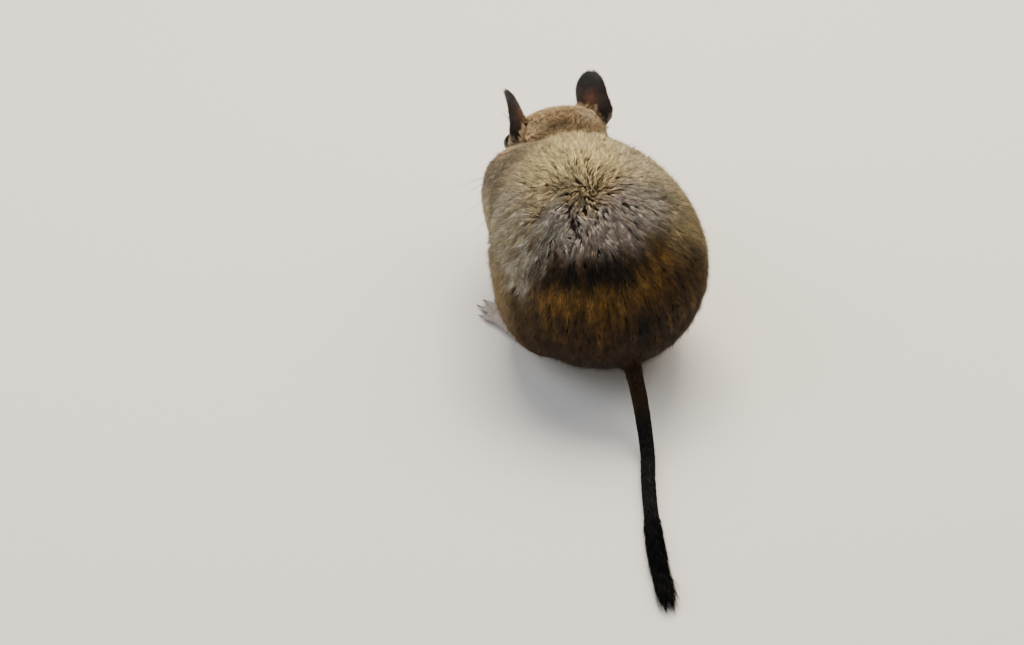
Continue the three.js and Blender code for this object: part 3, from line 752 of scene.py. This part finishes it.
coatMix = dict(  # three values are for the trunk, the head and tail, and the ears and feet
    clump=12,  # hairs that draw together to one point
    pull=(0.62, 0.15, 0.1),  # how far they do
    spread=(0.24, 0.09, 0.09),  # how far they turn aside
    vary=(0.42, 0.24, 0.24),  # how far such groups differ in lightness
    guard=0.3,  # share of the hairs with a dark tip
    stray=0.5,  # share of the straight hairs that stand a little out of the coat
    strayLift=26,  # how much more they stand up, at most
    whorlLift=16,  # how much more the hairs stand up where the coat parts
    scatter=(4, 5),  # of the lift, from hair to hair and from group to group
    bend=(12, 14),  # a hair's lower length stands up more than its lift, and its upper length less
    rooted=0.25,  # how far a hair starts below the skin
    floor=0.35,  # the lowest that a hair lies
    # places where the fur stands out: middle, reach and height
    fuller=[((-36, 34, 54), (8, 17, 15), 2.7), ((9.5, 98.2, 67.2), (3, 3, 3), 1.0)],
)


def mixOver(labels, name):
    trunk, head, thin = coatMix[name]
    return np.where(isTrunk(labels), trunk, np.where(isPart(labels, "ear", *feet), thin, head))


def coatForm(points, labels, depth):
    # length, width and number of the hairs at each place
    own = toHead(points)
    form = {key: np.full(len(points), float(coat["torso"][key])) for key in coat["torso"]}

    def lay(name, mask):
        for key, values in form.items():
            values += (coat[name][key] - values) * np.clip(mask, 0, 1)

    lay("neck", isPart(labels, "neck") * 1.0)
    lay("hindleg", isPart(labels, "hindleg") * 1.0)
    lay("under", ramp(points[:, 2], 27, 17))
    lay("foreleg", isPart(labels, "foreleg") * 1.0)
    onHead = isPart(labels, "head")
    lay("crown", onHead * 1.0)
    lay("face", onHead * ramp(own[:, 1], -4, 6))
    lay("muzzle", onHead * ramp(own[:, 1], 12, 21))
    lay("under", onHead * ramp(own[:, 2], -12, -16) * 0.4)
    lay("ear", isPart(labels, "ear") * 1.0)
    lay("foot", isPart(labels, *feet) * 1.0)
    lay("tail", isPart(labels, "tail") * 1.0)
    lay("brush", isPart(labels, "tail") * ramp(points[:, 1], brushFrom + 6, brushFrom - 16))
    form["length"] *= 1 - 0.25 * bump(points, whorl, (15, 13, 13)) * isPart(labels, "torso")
    long = depth * 3.6 + 1.0 + 30 * isPart(labels, "tail", "ear")
    form["length"] = np.minimum(form["length"], long)
    bare = (eyeDistance(points) < head["eyeRadius"] + 0.75) | (bump(own, noseTip, (2.8, 3.0, 2.2)) > 0.42)
    bare |= isPart(labels, *feet) & (points[:, 2] < 0.9)
    form["bent"][bare] = form["straight"][bare] = 0
    return form


def flowOver(points, normals, labels):
    # the way the hair lies, evened over the skin
    own = toHead(points)
    x, y, z = points.T
    zero = np.zeros(len(points))
    way = unit(points - whorl) * 1.25
    low = ramp(z, 34, 8)[:, None]
    way = way * (1 - low) + np.array([0, -0.7, -0.5]) * low
    onNeck = isPart(labels, "neck")[:, None]
    outward = np.where(x + 6 > 0, 1.0, -1.0)
    way = np.where(onNeck, np.stack([0.35 * outward, zero - 0.5, zero - 0.8], 1), way)
    back = unit(unit(own - noseTip) + np.array([0, -0.9, -0.1]))
    for name in sides:
        reach = own - toHead(eyeCentres[name][None])[0]
        near = np.linalg.norm(reach, axis=1, keepdims=True)
        back += reach / np.maximum(near, 1) * np.exp(-((near - head["eyeRadius"]) / 3.0) ** 2) * 0.8
    way = np.where(isPart(labels, "head")[:, None], back @ head["turn"].T, way)
    way = np.where(isPart(labels, "foreleg")[:, None], np.array([0, -0.2, -1.0]), way)
    foot = isPart(labels, *feet)[:, None]
    way = np.where(foot, np.stack([0.37 * outward, zero + 0.93, zero - 0.1], 1), way)
    for side, mine, *_ in earPlaces(points, normals, labels):
        way = np.where(mine[:, None], mirrored(earAxis, side) @ head["turn"].T, way)
    nearest = np.abs(y[:, None] - tailPoints[None, ::4, 1]).argmin(1)
    way = np.where(isPart(labels, "tail")[:, None], tailWays[::4][nearest], way)
    way = unit(way - normals * np.sum(way * normals, axis=1, keepdims=True))
    way = np.stack([evened(way[:, k], skinEdges, 60) for k in range(3)], 1)
    swirl = np.stack([patches(points + 17 * k, 6) for k in range(3)], 1)
    whirl = 0.35 * bump(points, whorl, (14, 14, 10))[:, None]
    way = unit(way) + swirl * np.where(isTrunk(labels)[:, None], 0.3 + whirl, 0.06)
    for cleft in clefts:
        reach = points - np.array(cleft, float)
        reach -= normals * np.sum(reach * normals, axis=1, keepdims=True)
        near = np.linalg.norm(reach, axis=1, keepdims=True)
        high = ramp(points[:, 2:], 60, 70)
        way += reach / np.maximum(near, 0.6) * np.exp(-(near / 5) ** 2) * 1.3 * high
    return unit(way - normals * np.sum(way * normals, axis=1, keepdims=True))


def orderedTriangles():
    # neighbours stay neighbours, so that an even walk through the list is even over the skin
    middle = skinPoints[skinCorners].mean(1)
    cell = np.floor((middle - middle.min(0)) / 4).astype(int)
    cell[:, 1] = np.where(cell[:, 0] % 2, 999 - cell[:, 1], cell[:, 1])
    cell[:, 2] = np.where((cell[:, 0] + cell[:, 1]) % 2, 99 - cell[:, 2], cell[:, 2])
    return np.lexsort((cell[:, 2], cell[:, 1], cell[:, 0]))


def rootsFor(density):
    # places spread evenly over the skin by the number of hairs wanted there
    a, b, c = (skinPoints[skinCorners[:, k]] for k in range(3))
    area = 0.5 * np.linalg.norm(np.cross(b - a, c - a), axis=1)
    ordered = orderedTriangles()
    total = np.cumsum((area * density[skinCorners].mean(1))[ordered])
    count = int(total[-1])
    steps = (np.arange(count) + random.random(count)) / count * total[-1]
    faces = ordered[np.minimum(np.searchsorted(total, steps), len(total) - 1)]
    u, v = random.random(count), random.random(count)
    over = u + v > 1
    u[over], v[over] = 1 - u[over], 1 - v[over]
    return skinCorners[faces], np.stack([1 - u - v, u, v], 1)


def blended(values, corners, shares):
    picked = values[corners]
    return np.sum(picked * (shares[..., None] if picked.ndim == 3 else shares), axis=1)


def leadersOf(points, size):
    # each hair follows the nearest of a few leading hairs
    index = np.nonzero(random.random(len(points)) < 1 / size)[0]
    tree = KDTree(len(index))
    for n, place in enumerate(points[index].tolist()):
        tree.insert(place, n)
    tree.balance()
    return index[np.array([tree.find(place)[1] for place in points.tolist()])]


def fitted(places, lowest, highest):
    # brings hairs between two heights over the solids' own surface, which is the coat's outline
    moved = places.copy()
    for i, place in enumerate(places.tolist()):
        near, normal, _, _ = solidTree.find_nearest(place)
        out = (Vector(place) - near).dot(normal)
        if out > highest[i]:
            moved[i] += np.array(normal) * (highest[i] - out)
        elif out < lowest[i]:
            moved[i] += np.array(normal) * (lowest[i] - out) * 0.7
    return moved


bentFaces, spikeFaces = [], [(0, 1, 2)]
for i in range(3):
    j = (i + 1) % 3
    bentFaces += [(0, 1 + j, 1 + i), (1 + i, 1 + j, 4)]
    spikeFaces.append((j, i, 3))
bentFaces, spikeFaces = np.array(bentFaces), np.array(spikeFaces)


def patchCorners(faces, ring, root, tip):
    # where each face of a hair lies inside its own small patch of the bake map, from -0.5 to 0.5
    spots = []
    for face in faces.tolist():
        own = [v for v in face if v not in (root, tip)]
        if len(own) == 3:
            spots += [(-0.5, -0.5), (0.5, -0.5), (0, -0.36)]
            continue
        first, second = sorted(v - ring for v in own)
        column = 2 if (first, second) == (0, 2) else first
        for v in face:
            if v in (root, tip):
                spots.append(((column - 1) / 3, 0.5 if v == tip else -0.5))
            else:
                right = v - ring == (column + 1) % 3
                spots.append(((column - 1.5 + right) / 3, -0.3))
    return np.array(spots)


bentPatch = patchCorners(bentFaces, 1, 0, 4)
spikePatch = patchCorners(spikeFaces, 0, None, 3)


def rankedCells(around, along):
    # every hair gets a cell of its own near its root's place on the unwrapped skin
    count = len(around)
    columns = max(1, math.ceil(math.sqrt(count)))
    row = np.empty(count, int)
    row[np.argsort(along, kind="stable")] = np.arange(count) // columns
    column = np.empty(count, int)
    column[np.lexsort((around, row))] = np.arange(count) % columns
    rows = row.max() + 1
    return np.stack([(column + 0.5) / columns, (row + 0.5) / rows], 1), 0.9 / columns


def growHairs(hairs):
    # root, middle and tip of every hair
    count = len(hairs["points"])
    points, normals, depth = hairs["points"], hairs["normals"], hairs["depth"]
    length = hairs["length"] * (0.8 + 0.38 * random.random(count))
    lead = hairs["lead"]
    sway = hairs["spread"] * (0.4 * random.normal(size=count) + random.normal(size=count)[lead])
    across = np.cross(normals, hairs["flow"])
    flow = unit(hairs["flow"] + across * sway[:, None])
    lift = np.arcsin(np.clip(1.1 * depth / length, 0.14, 0.9))
    single, group = np.radians(coatMix["scatter"])
    lift += single * random.normal(size=count) + group * random.normal(size=count)[lead]
    lift += np.radians(coatMix["whorlLift"]) * hairs["upright"]
    stray = ~hairs["bent"] & (random.random(count) < coatMix["stray"])
    lift += np.radians(coatMix["strayLift"]) * stray * random.random(count)
    more, less = np.radians(coatMix["bend"])
    steep, easy = lift + more, np.maximum(lift - less, np.radians(3))
    first = flow * np.cos(steep)[:, None] + normals * np.sin(steep)[:, None]
    second = flow * np.cos(easy)[:, None] + normals * np.sin(easy)[:, None]
    middle = points + first * (0.45 * length)[:, None]
    tip = middle + second * (0.55 * length)[:, None]
    shift = tip[lead] - tip
    far = np.linalg.norm(shift, axis=1, keepdims=True)
    shift *= np.minimum(1, 3.0 / np.maximum(far, 1e-6))
    pull = (hairs["pull"] * (0.6 + 0.7 * random.random(count)[lead]))[:, None]
    middle, tip = middle + shift * pull * 0.4, tip + shift * pull
    soft = np.interp(depth, [0.3, 5.5], [0.15, 1.0])
    ruffle = np.clip(random.normal(size=count), -1.5, 1.5)
    # heights over the solids: a ragged top to the coat, lower in its partings and higher for strays
    highest = soft * np.minimum(0.3, -0.3 + 0.4 * ruffle) - 2.8 * hairs["parted"]
    highest = np.where(stray, soft * (0.4 + 1.0 * np.abs(ruffle)), highest) + hairs["fuller"]
    lowest = np.where(hairs["parted"] > 0.2, -9.0, hairs["fuller"] - soft * (1.0 + np.abs(ruffle)))
    loose = isPart(hairs["labels"], "tail_brush", "ear")
    lowest[loose], highest[loose] = -9, 1.2
    tip = fitted(tip, lowest, highest)
    middle = fitted(middle, np.full(count, -99.0), np.minimum(highest, 0.4 * hairs["fuller"]) - 0.12 * soft)
    return points - normals * coatMix["rooted"], middle, tip


def hairPoints(hairs, root, middle, tip, bent):
    way = unit(tip - root)
    across = unit(np.cross(way, hairs["normals"]))
    over = np.cross(across, way)
    half = (hairs["width"] / 2)[:, None]
    place = middle if bent else root
    ring = [place + across * half, place - across * half, place + over * half * 0.8]
    points = np.stack(([root] if bent else []) + (ring if bent else [ring[1], ring[0], ring[2]]) + [tip], 1)
    points[:, :, 2] = np.maximum(points[:, :, 2], coatMix["floor"])
    return points


def regionOf(points, labels):
    own = toHead(points)
    x, y, z = points.T
    left = x < whorl[0] + 3
    names = np.where(left, "coat_belly_left", "coat_belly_right").astype(object)
    body = isTrunk(labels)
    for mask, name in (((y > 24) & (z > 26), "coat_side"), ((y > 24) & (z > 56), "coat_shoulder"),
                       ((y <= 24) & (z > 26), "coat_rump")):
        names[body & mask & left] = name + "_left"
        names[body & mask & ~left] = name + "_right"
    names[body & (np.linalg.norm(points - whorl, axis=1) < 22)] = "coat_hump"
    onHead = isPart(labels, "head")
    names[onHead & (own[:, 1] <= -3)] = "coat_crown"
    names[onHead & (own[:, 1] > -3)] = "coat_face"
    names[isPart(labels, "ear")] = "coat_ears"
    names[isPart(labels, *feet)] = "coat_feet"
    names[isPart(labels, "tail")] = "coat_tail"
    return names


def unwrapOf(region, points):
    # the skin unrolled: round the part and along it
    own = toHead(points)
    x, y, z = points.T
    if region in ("coat_crown", "coat_face"):
        return np.arctan2(own[:, 0], own[:, 2]), own[:, 1]
    if region == "coat_ears":
        side = np.where(own[:, 0] > 0, 1.0, -1.0)
        local = own * np.stack([side, side * side, side * side], 1) - earRoot
        return side * 4 + np.arctan2(local[:, 1], local[:, 0]), local[:, 2]
    if region == "coat_feet":
        return x + 0.15 * z, y + 0.3 * z
    if region == "coat_tail":
        return np.arctan2(x - np.interp(-y, -tailPoints[:, 1], tailPoints[:, 0]), z - 2.6), y
    if region == "coat_hump":
        return x, y - 0.5 * z
    return np.arctan2(x - bodyCentre[0], z - 30), y


coatPieces = {}


def makeCoatPiece(region, chosen, hairs, places, stops):
    cells, room = rankedCells(*unwrapOf(region, hairs["points"][chosen]))
    patch = min(0.003, room)
    points, faces, colours, maps, start = [], [], [], [], 0
    for bent, form, spots in ((True, bentFaces, bentPatch), (False, spikeFaces, spikePatch)):
        mine = hairs["bent"][chosen] == bent
        index = chosen[mine]
        if not len(index):
            continue
        own = {key: values[index] for key, values in hairs.items()}
        shape = hairPoints(own, *(each[index] for each in places), bent)
        root, body, tip = (each[index][:, None] for each in stops)
        levels = [root, body, body, body, tip] if bent else [0.4 * root + 0.6 * body] * 3 + [tip]
        corners = shape.shape[1]
        points.append(shape.reshape(-1, 3))
        colours.append(np.concatenate(levels, 1).reshape(-1, 3))
        firsts = start + np.arange(len(index)) * corners
        faces.append((form[None] + firsts[:, None, None]).reshape(-1, 3))
        maps.append((cells[mine][:, None] + spots[None] * patch).reshape(-1, 2))
        start += len(index) * corners
    piece = meshPiece(region, np.vstack(points), np.vstack(faces))
    paint(piece, np.vstack(colours))
    layer = piece.data.uv_layers.new(name="OFBake")
    layer.data.foreach_set("uv", np.vstack(maps).astype(np.float32).ravel())
    short = region in ("coat_face", "coat_ears", "coat_feet", "coat_tail")
    piece.data.materials.append(shortFur if short else longFur)
    coatPieces[region] = piece
    print(region, "triangles", len(piece.data.polygons))


def makeCoat():
    form = coatForm(skinPoints, skinLabels, skinDepth)
    flow = flowOver(skinPoints, skinNormals, skinLabels)
    corners, shares = rootsFor(form["bent"] + form["straight"])
    spread = {key: blended(values, corners, shares) for key, values in form.items()}
    points = blended(skinPoints, corners, shares)
    labels = skinLabels[corners[:, 0]]
    count = len(points)
    onTorso = isPart(labels, "torso")
    deep = np.max([bump(points, place, (3.2, 3.2, 9)) for place in clefts], axis=0) * onTorso
    bent = random.random(count) * (spread["bent"] + spread["straight"]) < spread["bent"]
    hairs = dict(
        points=points, labels=labels, bent=bent, length=spread["length"] * (1 - 0.45 * deep),
        normals=unit(blended(skinNormals, corners, shares)), flow=unit(blended(flow, corners, shares)),
        depth=blended(skinDepth, corners, shares), lead=leadersOf(points, coatMix["clump"]),
        width=spread["width"] * (0.75 + 0.5 * random.random(count)) * np.where(bent, 1.0, 0.72),
        spread=mixOver(labels, "spread"), pull=mixOver(labels, "pull"), parted=deep,
        upright=bump(points, whorl - [0, 0, 5], (13, 11, 13)) * onTorso + 0.6 * isPart(labels, "tail_brush"),
        fuller=sum(high * bump(points, place, reach) for place, reach, high in coatMix["fuller"]),
    )
    places = growHairs(hairs)
    tipTone = markings(places[2], hairs["normals"], labels)[0]
    bodyTone, rootTone = markings(places[1], hairs["normals"], labels)[1:]
    guard = (random.random(count) < coatMix["guard"])[:, None]
    saddle = 0.4 * onTorso * ramp(points[:, 2], 62, 70) * ramp(points[:, 1], 34, 22)
    vary = mixOver(labels, "vary") + saddle
    light = (1 + vary * (random.random(count)[hairs["lead"]] - 0.5)) * (0.9 + 0.2 * random.random(count))
    light = (light * (1 + 0.24 * streaks(places[2], 1.9) * onTorso))[:, None]
    bodyTone, tipTone = (np.where(guard, 0.55 * tipTone + 0.45 * bodyTone, bodyTone) * light,
                         np.where(guard, bodyTone * 0.3, tipTone) * light)
    print("hairs", count, "of them bent", int(bent.sum()))
    regions = regionOf(points, labels)
    for region in sorted(set(regions)):
        makeCoatPiece(region, np.nonzero(regions == region)[0], hairs, places, (rootTone, bodyTone, tipTone))


def paintSkin():
    # where the coat is long, the skin under it is halfway to the hair's dark root
    _, body, root = markings(skinPoints + skinNormals * skinDepth[:, None], skinNormals, skinLabels)
    thin = isPart(skinLabels, "ear", *feet)[:, None]
    paint(skin, np.where(thin, body, 0.5 * body + 0.5 * root))
    skin.data.materials.append(bareSkin)


makeCoat()
paintSkin()
print("coat made and skin painted")


# Eyes: a dark ball with a clear, bulging front

eye = dict(
    bulge=0.35,
    iris=0.86,  # its edge, as an angle from the middle in radians, as the pupil's is
    pupil=(0.2, 0.4),  # across and along its upright oval
)


def eyeMaterial():
    # wet cornea over a nearly black iris: one small sharp highlight on a deep brown
    material, tree, shader = newMaterial("wet eye", {
        "Roughness": 0.35, "Specular IOR Level": 0.0, "Coat Weight": 0.65, "Coat IOR": 1.376,
        "Coat Roughness": 0.03})
    colour = addNode(tree, "ShaderNodeAttribute", {"attribute_name": "coatColour"})
    tree.links.new(colour.outputs["Color"], shader.inputs["Base Color"])
    return material


def makeEyes():
    material = eyeMaterial()
    radius = head["eyeRadius"]
    for name, side in sides.items():
        out = mirrored(eyeOut, side) @ head["turn"].T
        deselectAll()
        bpy.ops.mesh.primitive_uv_sphere_add(segments=48, ring_count=32, radius=radius * mm)
        ball = bpy.context.object
        ball.name = "eyeball_" + name
        turn = np.array(Vector((0, 0, 1)).rotation_difference(Vector(out)).to_matrix())
        points = pointsOf(ball.data)
        front = np.arccos(np.clip(points[:, 2] / radius, -1, 1))
        points *= (1 + eye["bulge"] / radius * np.exp(-(front / 0.55) ** 2))[:, None]
        upHead = unit((turn.T @ (head["turn"] @ np.array([0, 0, 1.0]))) * [1, 1, 0])
        flat = unit(points * [1, 1, 0] + 1e-9)
        slit = eye["pupil"][0] + (eye["pupil"][1] - eye["pupil"][0]) * np.abs(flat @ upHead)
        streak = 0.8 + 0.4 * np.sin(np.arctan2(flat[:, 1], flat[:, 0]) * 23)[:, None] ** 2
        colours = np.where((front < eye["iris"])[:, None], linear("#20120b") * streak, linear("#120b08"))
        colours = np.where((front < slit)[:, None], linear("#030202"), colours)
        setPoints(ball.data, points @ turn.T + eyeCentres[name])
        paint(ball, colours)
        smoothShaded(ball)
        ball.data.materials.append(material)
        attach(ball, "root")
        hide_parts("eye_" + name)
    print("eyes made")


makeEyes()


# Claws: one horn sickle, shaped and then copied to the end of every toe

claw = dict(radius=0.72, steps=5, taper=0.72, bend=11, around=10)

# the solids' own measures: splay turns a foot outwards, back moves its heel, claw is the claw's length
hindFoot = dict(
    splay=22, length=36, heel=(28.9, 2.7), back=-3.5, claw=3.4, less=4,
    toes=[(-4.3, 0.5, 0.2, 1.25, 20), (-2.6, 0.6, 0.36, 1.55, 9), (-0.3, 0.62, 0.4, 1.6, 1),
          (2.0, 0.6, 0.37, 1.55, -7), (3.9, 0.54, 0.27, 1.4, -17)],  # offset, start, length, radius and fan
)
forePaw = dict(
    splay=8, length=15, heel=(17.0, 45.36), back=-0.5, claw=2.4, less=0,
    toes=[(-3.1, 0.42, 0.46, 1.2, 18), (-1.1, 0.5, 0.56, 1.3, 6), (1.1, 0.5, 0.56, 1.3, -5),
          (3.1, 0.42, 0.46, 1.2, -17)],
)
# from the middle that the feet are measured from to the frame's
footMiddle = head["origin"] * [1, 1, 0] - np.array([-4, 69.5, 0])


def toeEnds(foot):
    # the end of each toe and the way it points
    for side in sides.values():
        splay = math.radians(foot["splay"])
        ahead = np.array([side * math.sin(splay), math.cos(splay), 0])
        across = np.array([side * math.cos(splay), -math.sin(splay), 0])
        start = np.array([side * foot["heel"][0], foot["heel"][1], 0]) + ahead * foot["back"] + footMiddle
        for offset, share, length, radius, fan in foot["toes"]:
            turn = np.array(Matrix.Rotation(math.radians(side * fan), 3, "Z"))
            way = turn @ ahead
            root = start + ahead * share * foot["length"] + across * offset
            yield root + way * (length * foot["length"] - foot["less"]) + [0, 0, radius * 0.7], way, radius


def hornMaterial():
    # claw horn: smooth keratin, dark and clouded with brown
    material, tree, shader = newMaterial("claw horn", {"Roughness": 0.34, "IOR": 1.55})
    grain, tone = grained(tree, 0.5, "#2b211b", "#6b5a4a")
    relief = addNode(tree, "ShaderNodeBump", values={"Strength": 0.25, "Distance": 0.1 * mm},
                     links={"Height": grain.outputs["Fac"]})
    tree.links.new(tone, shader.inputs["Base Color"])
    tree.links.new(relief.outputs["Normal"], shader.inputs["Normal"])
    return material


def faceOutwards():
    # turns all the faces of the active object outwards
    bpy.ops.object.mode_set(mode="EDIT")
    bpy.ops.mesh.select_all(action="SELECT")
    bpy.ops.mesh.normals_make_consistent(inside=False)
    bpy.ops.object.mode_set(mode="OBJECT")


def makeClaw():
    # a ring drawn out along Y, narrower and lower at each step
    deselectAll()
    bpy.ops.mesh.primitive_circle_add(vertices=claw["around"], radius=claw["radius"] * mm, fill_type="NGON",
                                      rotation=(math.radians(90), 0, 0))
    made = bpy.context.object
    bpy.ops.object.transform_apply(location=False, rotation=True, scale=False)
    bpy.ops.object.mode_set(mode="EDIT")
    bpy.ops.mesh.select_all(action="SELECT")
    step = 1 / claw["steps"]
    place = Vector((0, 0, 0))
    for k in range(claw["steps"]):
        angle = math.radians(claw["bend"] * (k + 0.5))
        move = Vector((0, math.cos(angle), -math.sin(angle))) * step * mm
        bpy.ops.mesh.extrude_region_move(TRANSFORM_OT_translate={"value": move})
        place += move
        bpy.ops.transform.resize(value=(claw["taper"],) * 3, center_override=place)
        bpy.ops.transform.rotate(value=math.radians(claw["bend"]), orient_axis="X", center_override=place)
    faceOutwards()
    return made


def makeClaws():
    pattern = makeClaw()
    points = pointsOf(pattern.data)
    copies = []
    for foot in (hindFoot, forePaw):
        for end, way, radius in toeEnds(foot):
            copy = pattern.copy()
            copy.data = pattern.data.copy()
            bpy.context.scene.collection.objects.link(copy)
            across = np.cross(way, [0, 0, 1.0])
            long = foot["claw"] + 1.4
            own = points * [1, long, 1]
            spot = end - way * 0.9 + [0, 0, radius * 0.22]
            spread = own[:, :1] * across + own[:, 1:2] * way + own[:, 2:] * np.array([0, 0, 1.0]) + spot
            spread[:, 2] = np.maximum(spread[:, 2], 0.06)
            setPoints(copy.data, spread)
            copies.append(copy)
    bpy.data.objects.remove(pattern)
    pick(copies)
    bpy.ops.object.join()
    claws = bpy.context.object
    claws.name = claws.data.name = "claws"
    faceOutwards()
    smoothShaded(claws)
    claws.data.materials.append(hornMaterial())
    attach(claws, "root")
    print("claws made:", len(copies))


makeClaws()


# Whiskers and long single hairs of the face

whiskers = dict(
    perSide=16, length=(12, 40), radius=0.12, steps=8, rows=4,
    pad=(5.2, 0.41, -0.2),  # front of the pad: across, then along and up as shares of the head
    brows=3,
)


def whiskerMaterial():
    # smooth keratin bristle: thin, with a soft shine along it
    material, tree, shader = newMaterial("keratin bristle", {"Roughness": 0.38, "IOR": 1.55})
    colour = addNode(tree, "ShaderNodeAttribute", {"attribute_name": "coatColour"})
    tree.links.new(colour.outputs["Color"], shader.inputs["Base Color"])
    return material


headTree = BVHTree.FromPolygons(skinPoints.tolist(), skinCorners.tolist())


def onSkin(local):
    # the nearest place of the skin to a point given in the head's axes
    place, normal, _, _ = headTree.find_nearest(Vector(fromHead(np.array(local, float))))
    return np.array(place), np.array(normal)


def bristle(start, way, droop, length, radius):
    steps = whiskers["steps"]
    shares = np.linspace(0, 1, steps + 1)
    line = start + np.outer(shares, way) * length + np.outer(shares ** 2, droop) * length
    around = unit(np.gradient(line, axis=0))
    across = unit(np.cross(around, [0.13, 0.2, 1.0]))
    over = np.cross(across, around)
    points = []
    for k in range(steps):
        r = radius * (1 - shares[k]) ** 0.8 + 0.02
        for angle in (0, 2.094, 4.189):
            points.append(line[k] + r * (math.cos(angle) * across[k] + math.sin(angle) * over[k]))
    points.append(line[-1])
    faces = [(0, 1, 2)]
    for k in range(steps - 1):
        for i in range(3):
            a, b = 3 * k + i, 3 * k + (i + 1) % 3
            faces += [(b, a, a + 3), (b, a + 3, b + 3)]
    last = 3 * (steps - 1)
    for i in range(3):
        faces.append((last + (i + 1) % 3, last + i, 3 * steps))
    return np.array(points), np.array(faces)


def makeWhiskers():
    chance = np.random.default_rng(5)
    points, faces, colours, total = [], [], [], 0
    dark, pale = linear("#2a211b"), linear("#cfc3ab")
    across, along, up = whiskers["pad"]
    shortest, longest = whiskers["length"]

    def add(start, way, droop, length, radius, colour):
        nonlocal total
        own, corners = bristle(start, way, droop, length, radius)
        points.append(own)
        faces.append(corners + total)
        colours.append(np.tile(colour, (len(own), 1)))
        total += len(own)

    for side in sides.values():
        for k in range(whiskers["perSide"]):
            row, place = k % whiskers["rows"], k // whiskers["rows"]
            start, normal = onSkin((side * (across + 0.7 * place), head["length"] * along - 2.0 * place,
                                    head["height"] * up + 2.6 - 1.5 * row))
            way = unit(np.array([side * 1.0, 0.1 - 0.22 * place + 0.1 * chance.normal(), 0.28 - 0.24 * row]))
            way = unit(way @ head["turn"].T + 0.25 * normal)
            length = (longest - shortest) * min(1, 0.35 + 0.2 * place) * (0.85 + 0.3 * chance.random())
            length += shortest
            droop = np.array([0, -0.12, -0.16 - 0.05 * row]) + 0.04 * chance.normal(size=3)
            colour = pale if chance.random() < 0.6 else dark
            add(start - normal * 0.4, way, droop, length, whiskers["radius"], colour)
        for k in range(whiskers["brows"]):
            start, normal = onSkin((side * (10 + 1.2 * k), 7 - 2.2 * k, 13))
            way = unit(np.array([side * 0.55, -0.1 - 0.2 * k, 0.8]) @ head["turn"].T)
            add(start - normal * 0.3, way, np.array([0, -0.25, -0.05]), 11 + 2 * k, 0.08, dark)
    points, faces = np.vstack(points), np.vstack(faces)
    points[:, 2] = np.maximum(points[:, 2], 0.4)
    piece = meshPiece("whiskers", points, faces)
    paint(piece, np.vstack(colours))
    smoothShaded(piece)
    piece.data.materials.append(whiskerMaterial())
    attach(piece, "root")
    print("whiskers made:", len(faces), "triangles")


makeWhiskers()


# Each piece rides on the body and stands for its solids

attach(skin, "root")
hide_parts(*flesh)
for region, piece in coatPieces.items():
    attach(piece, "root")
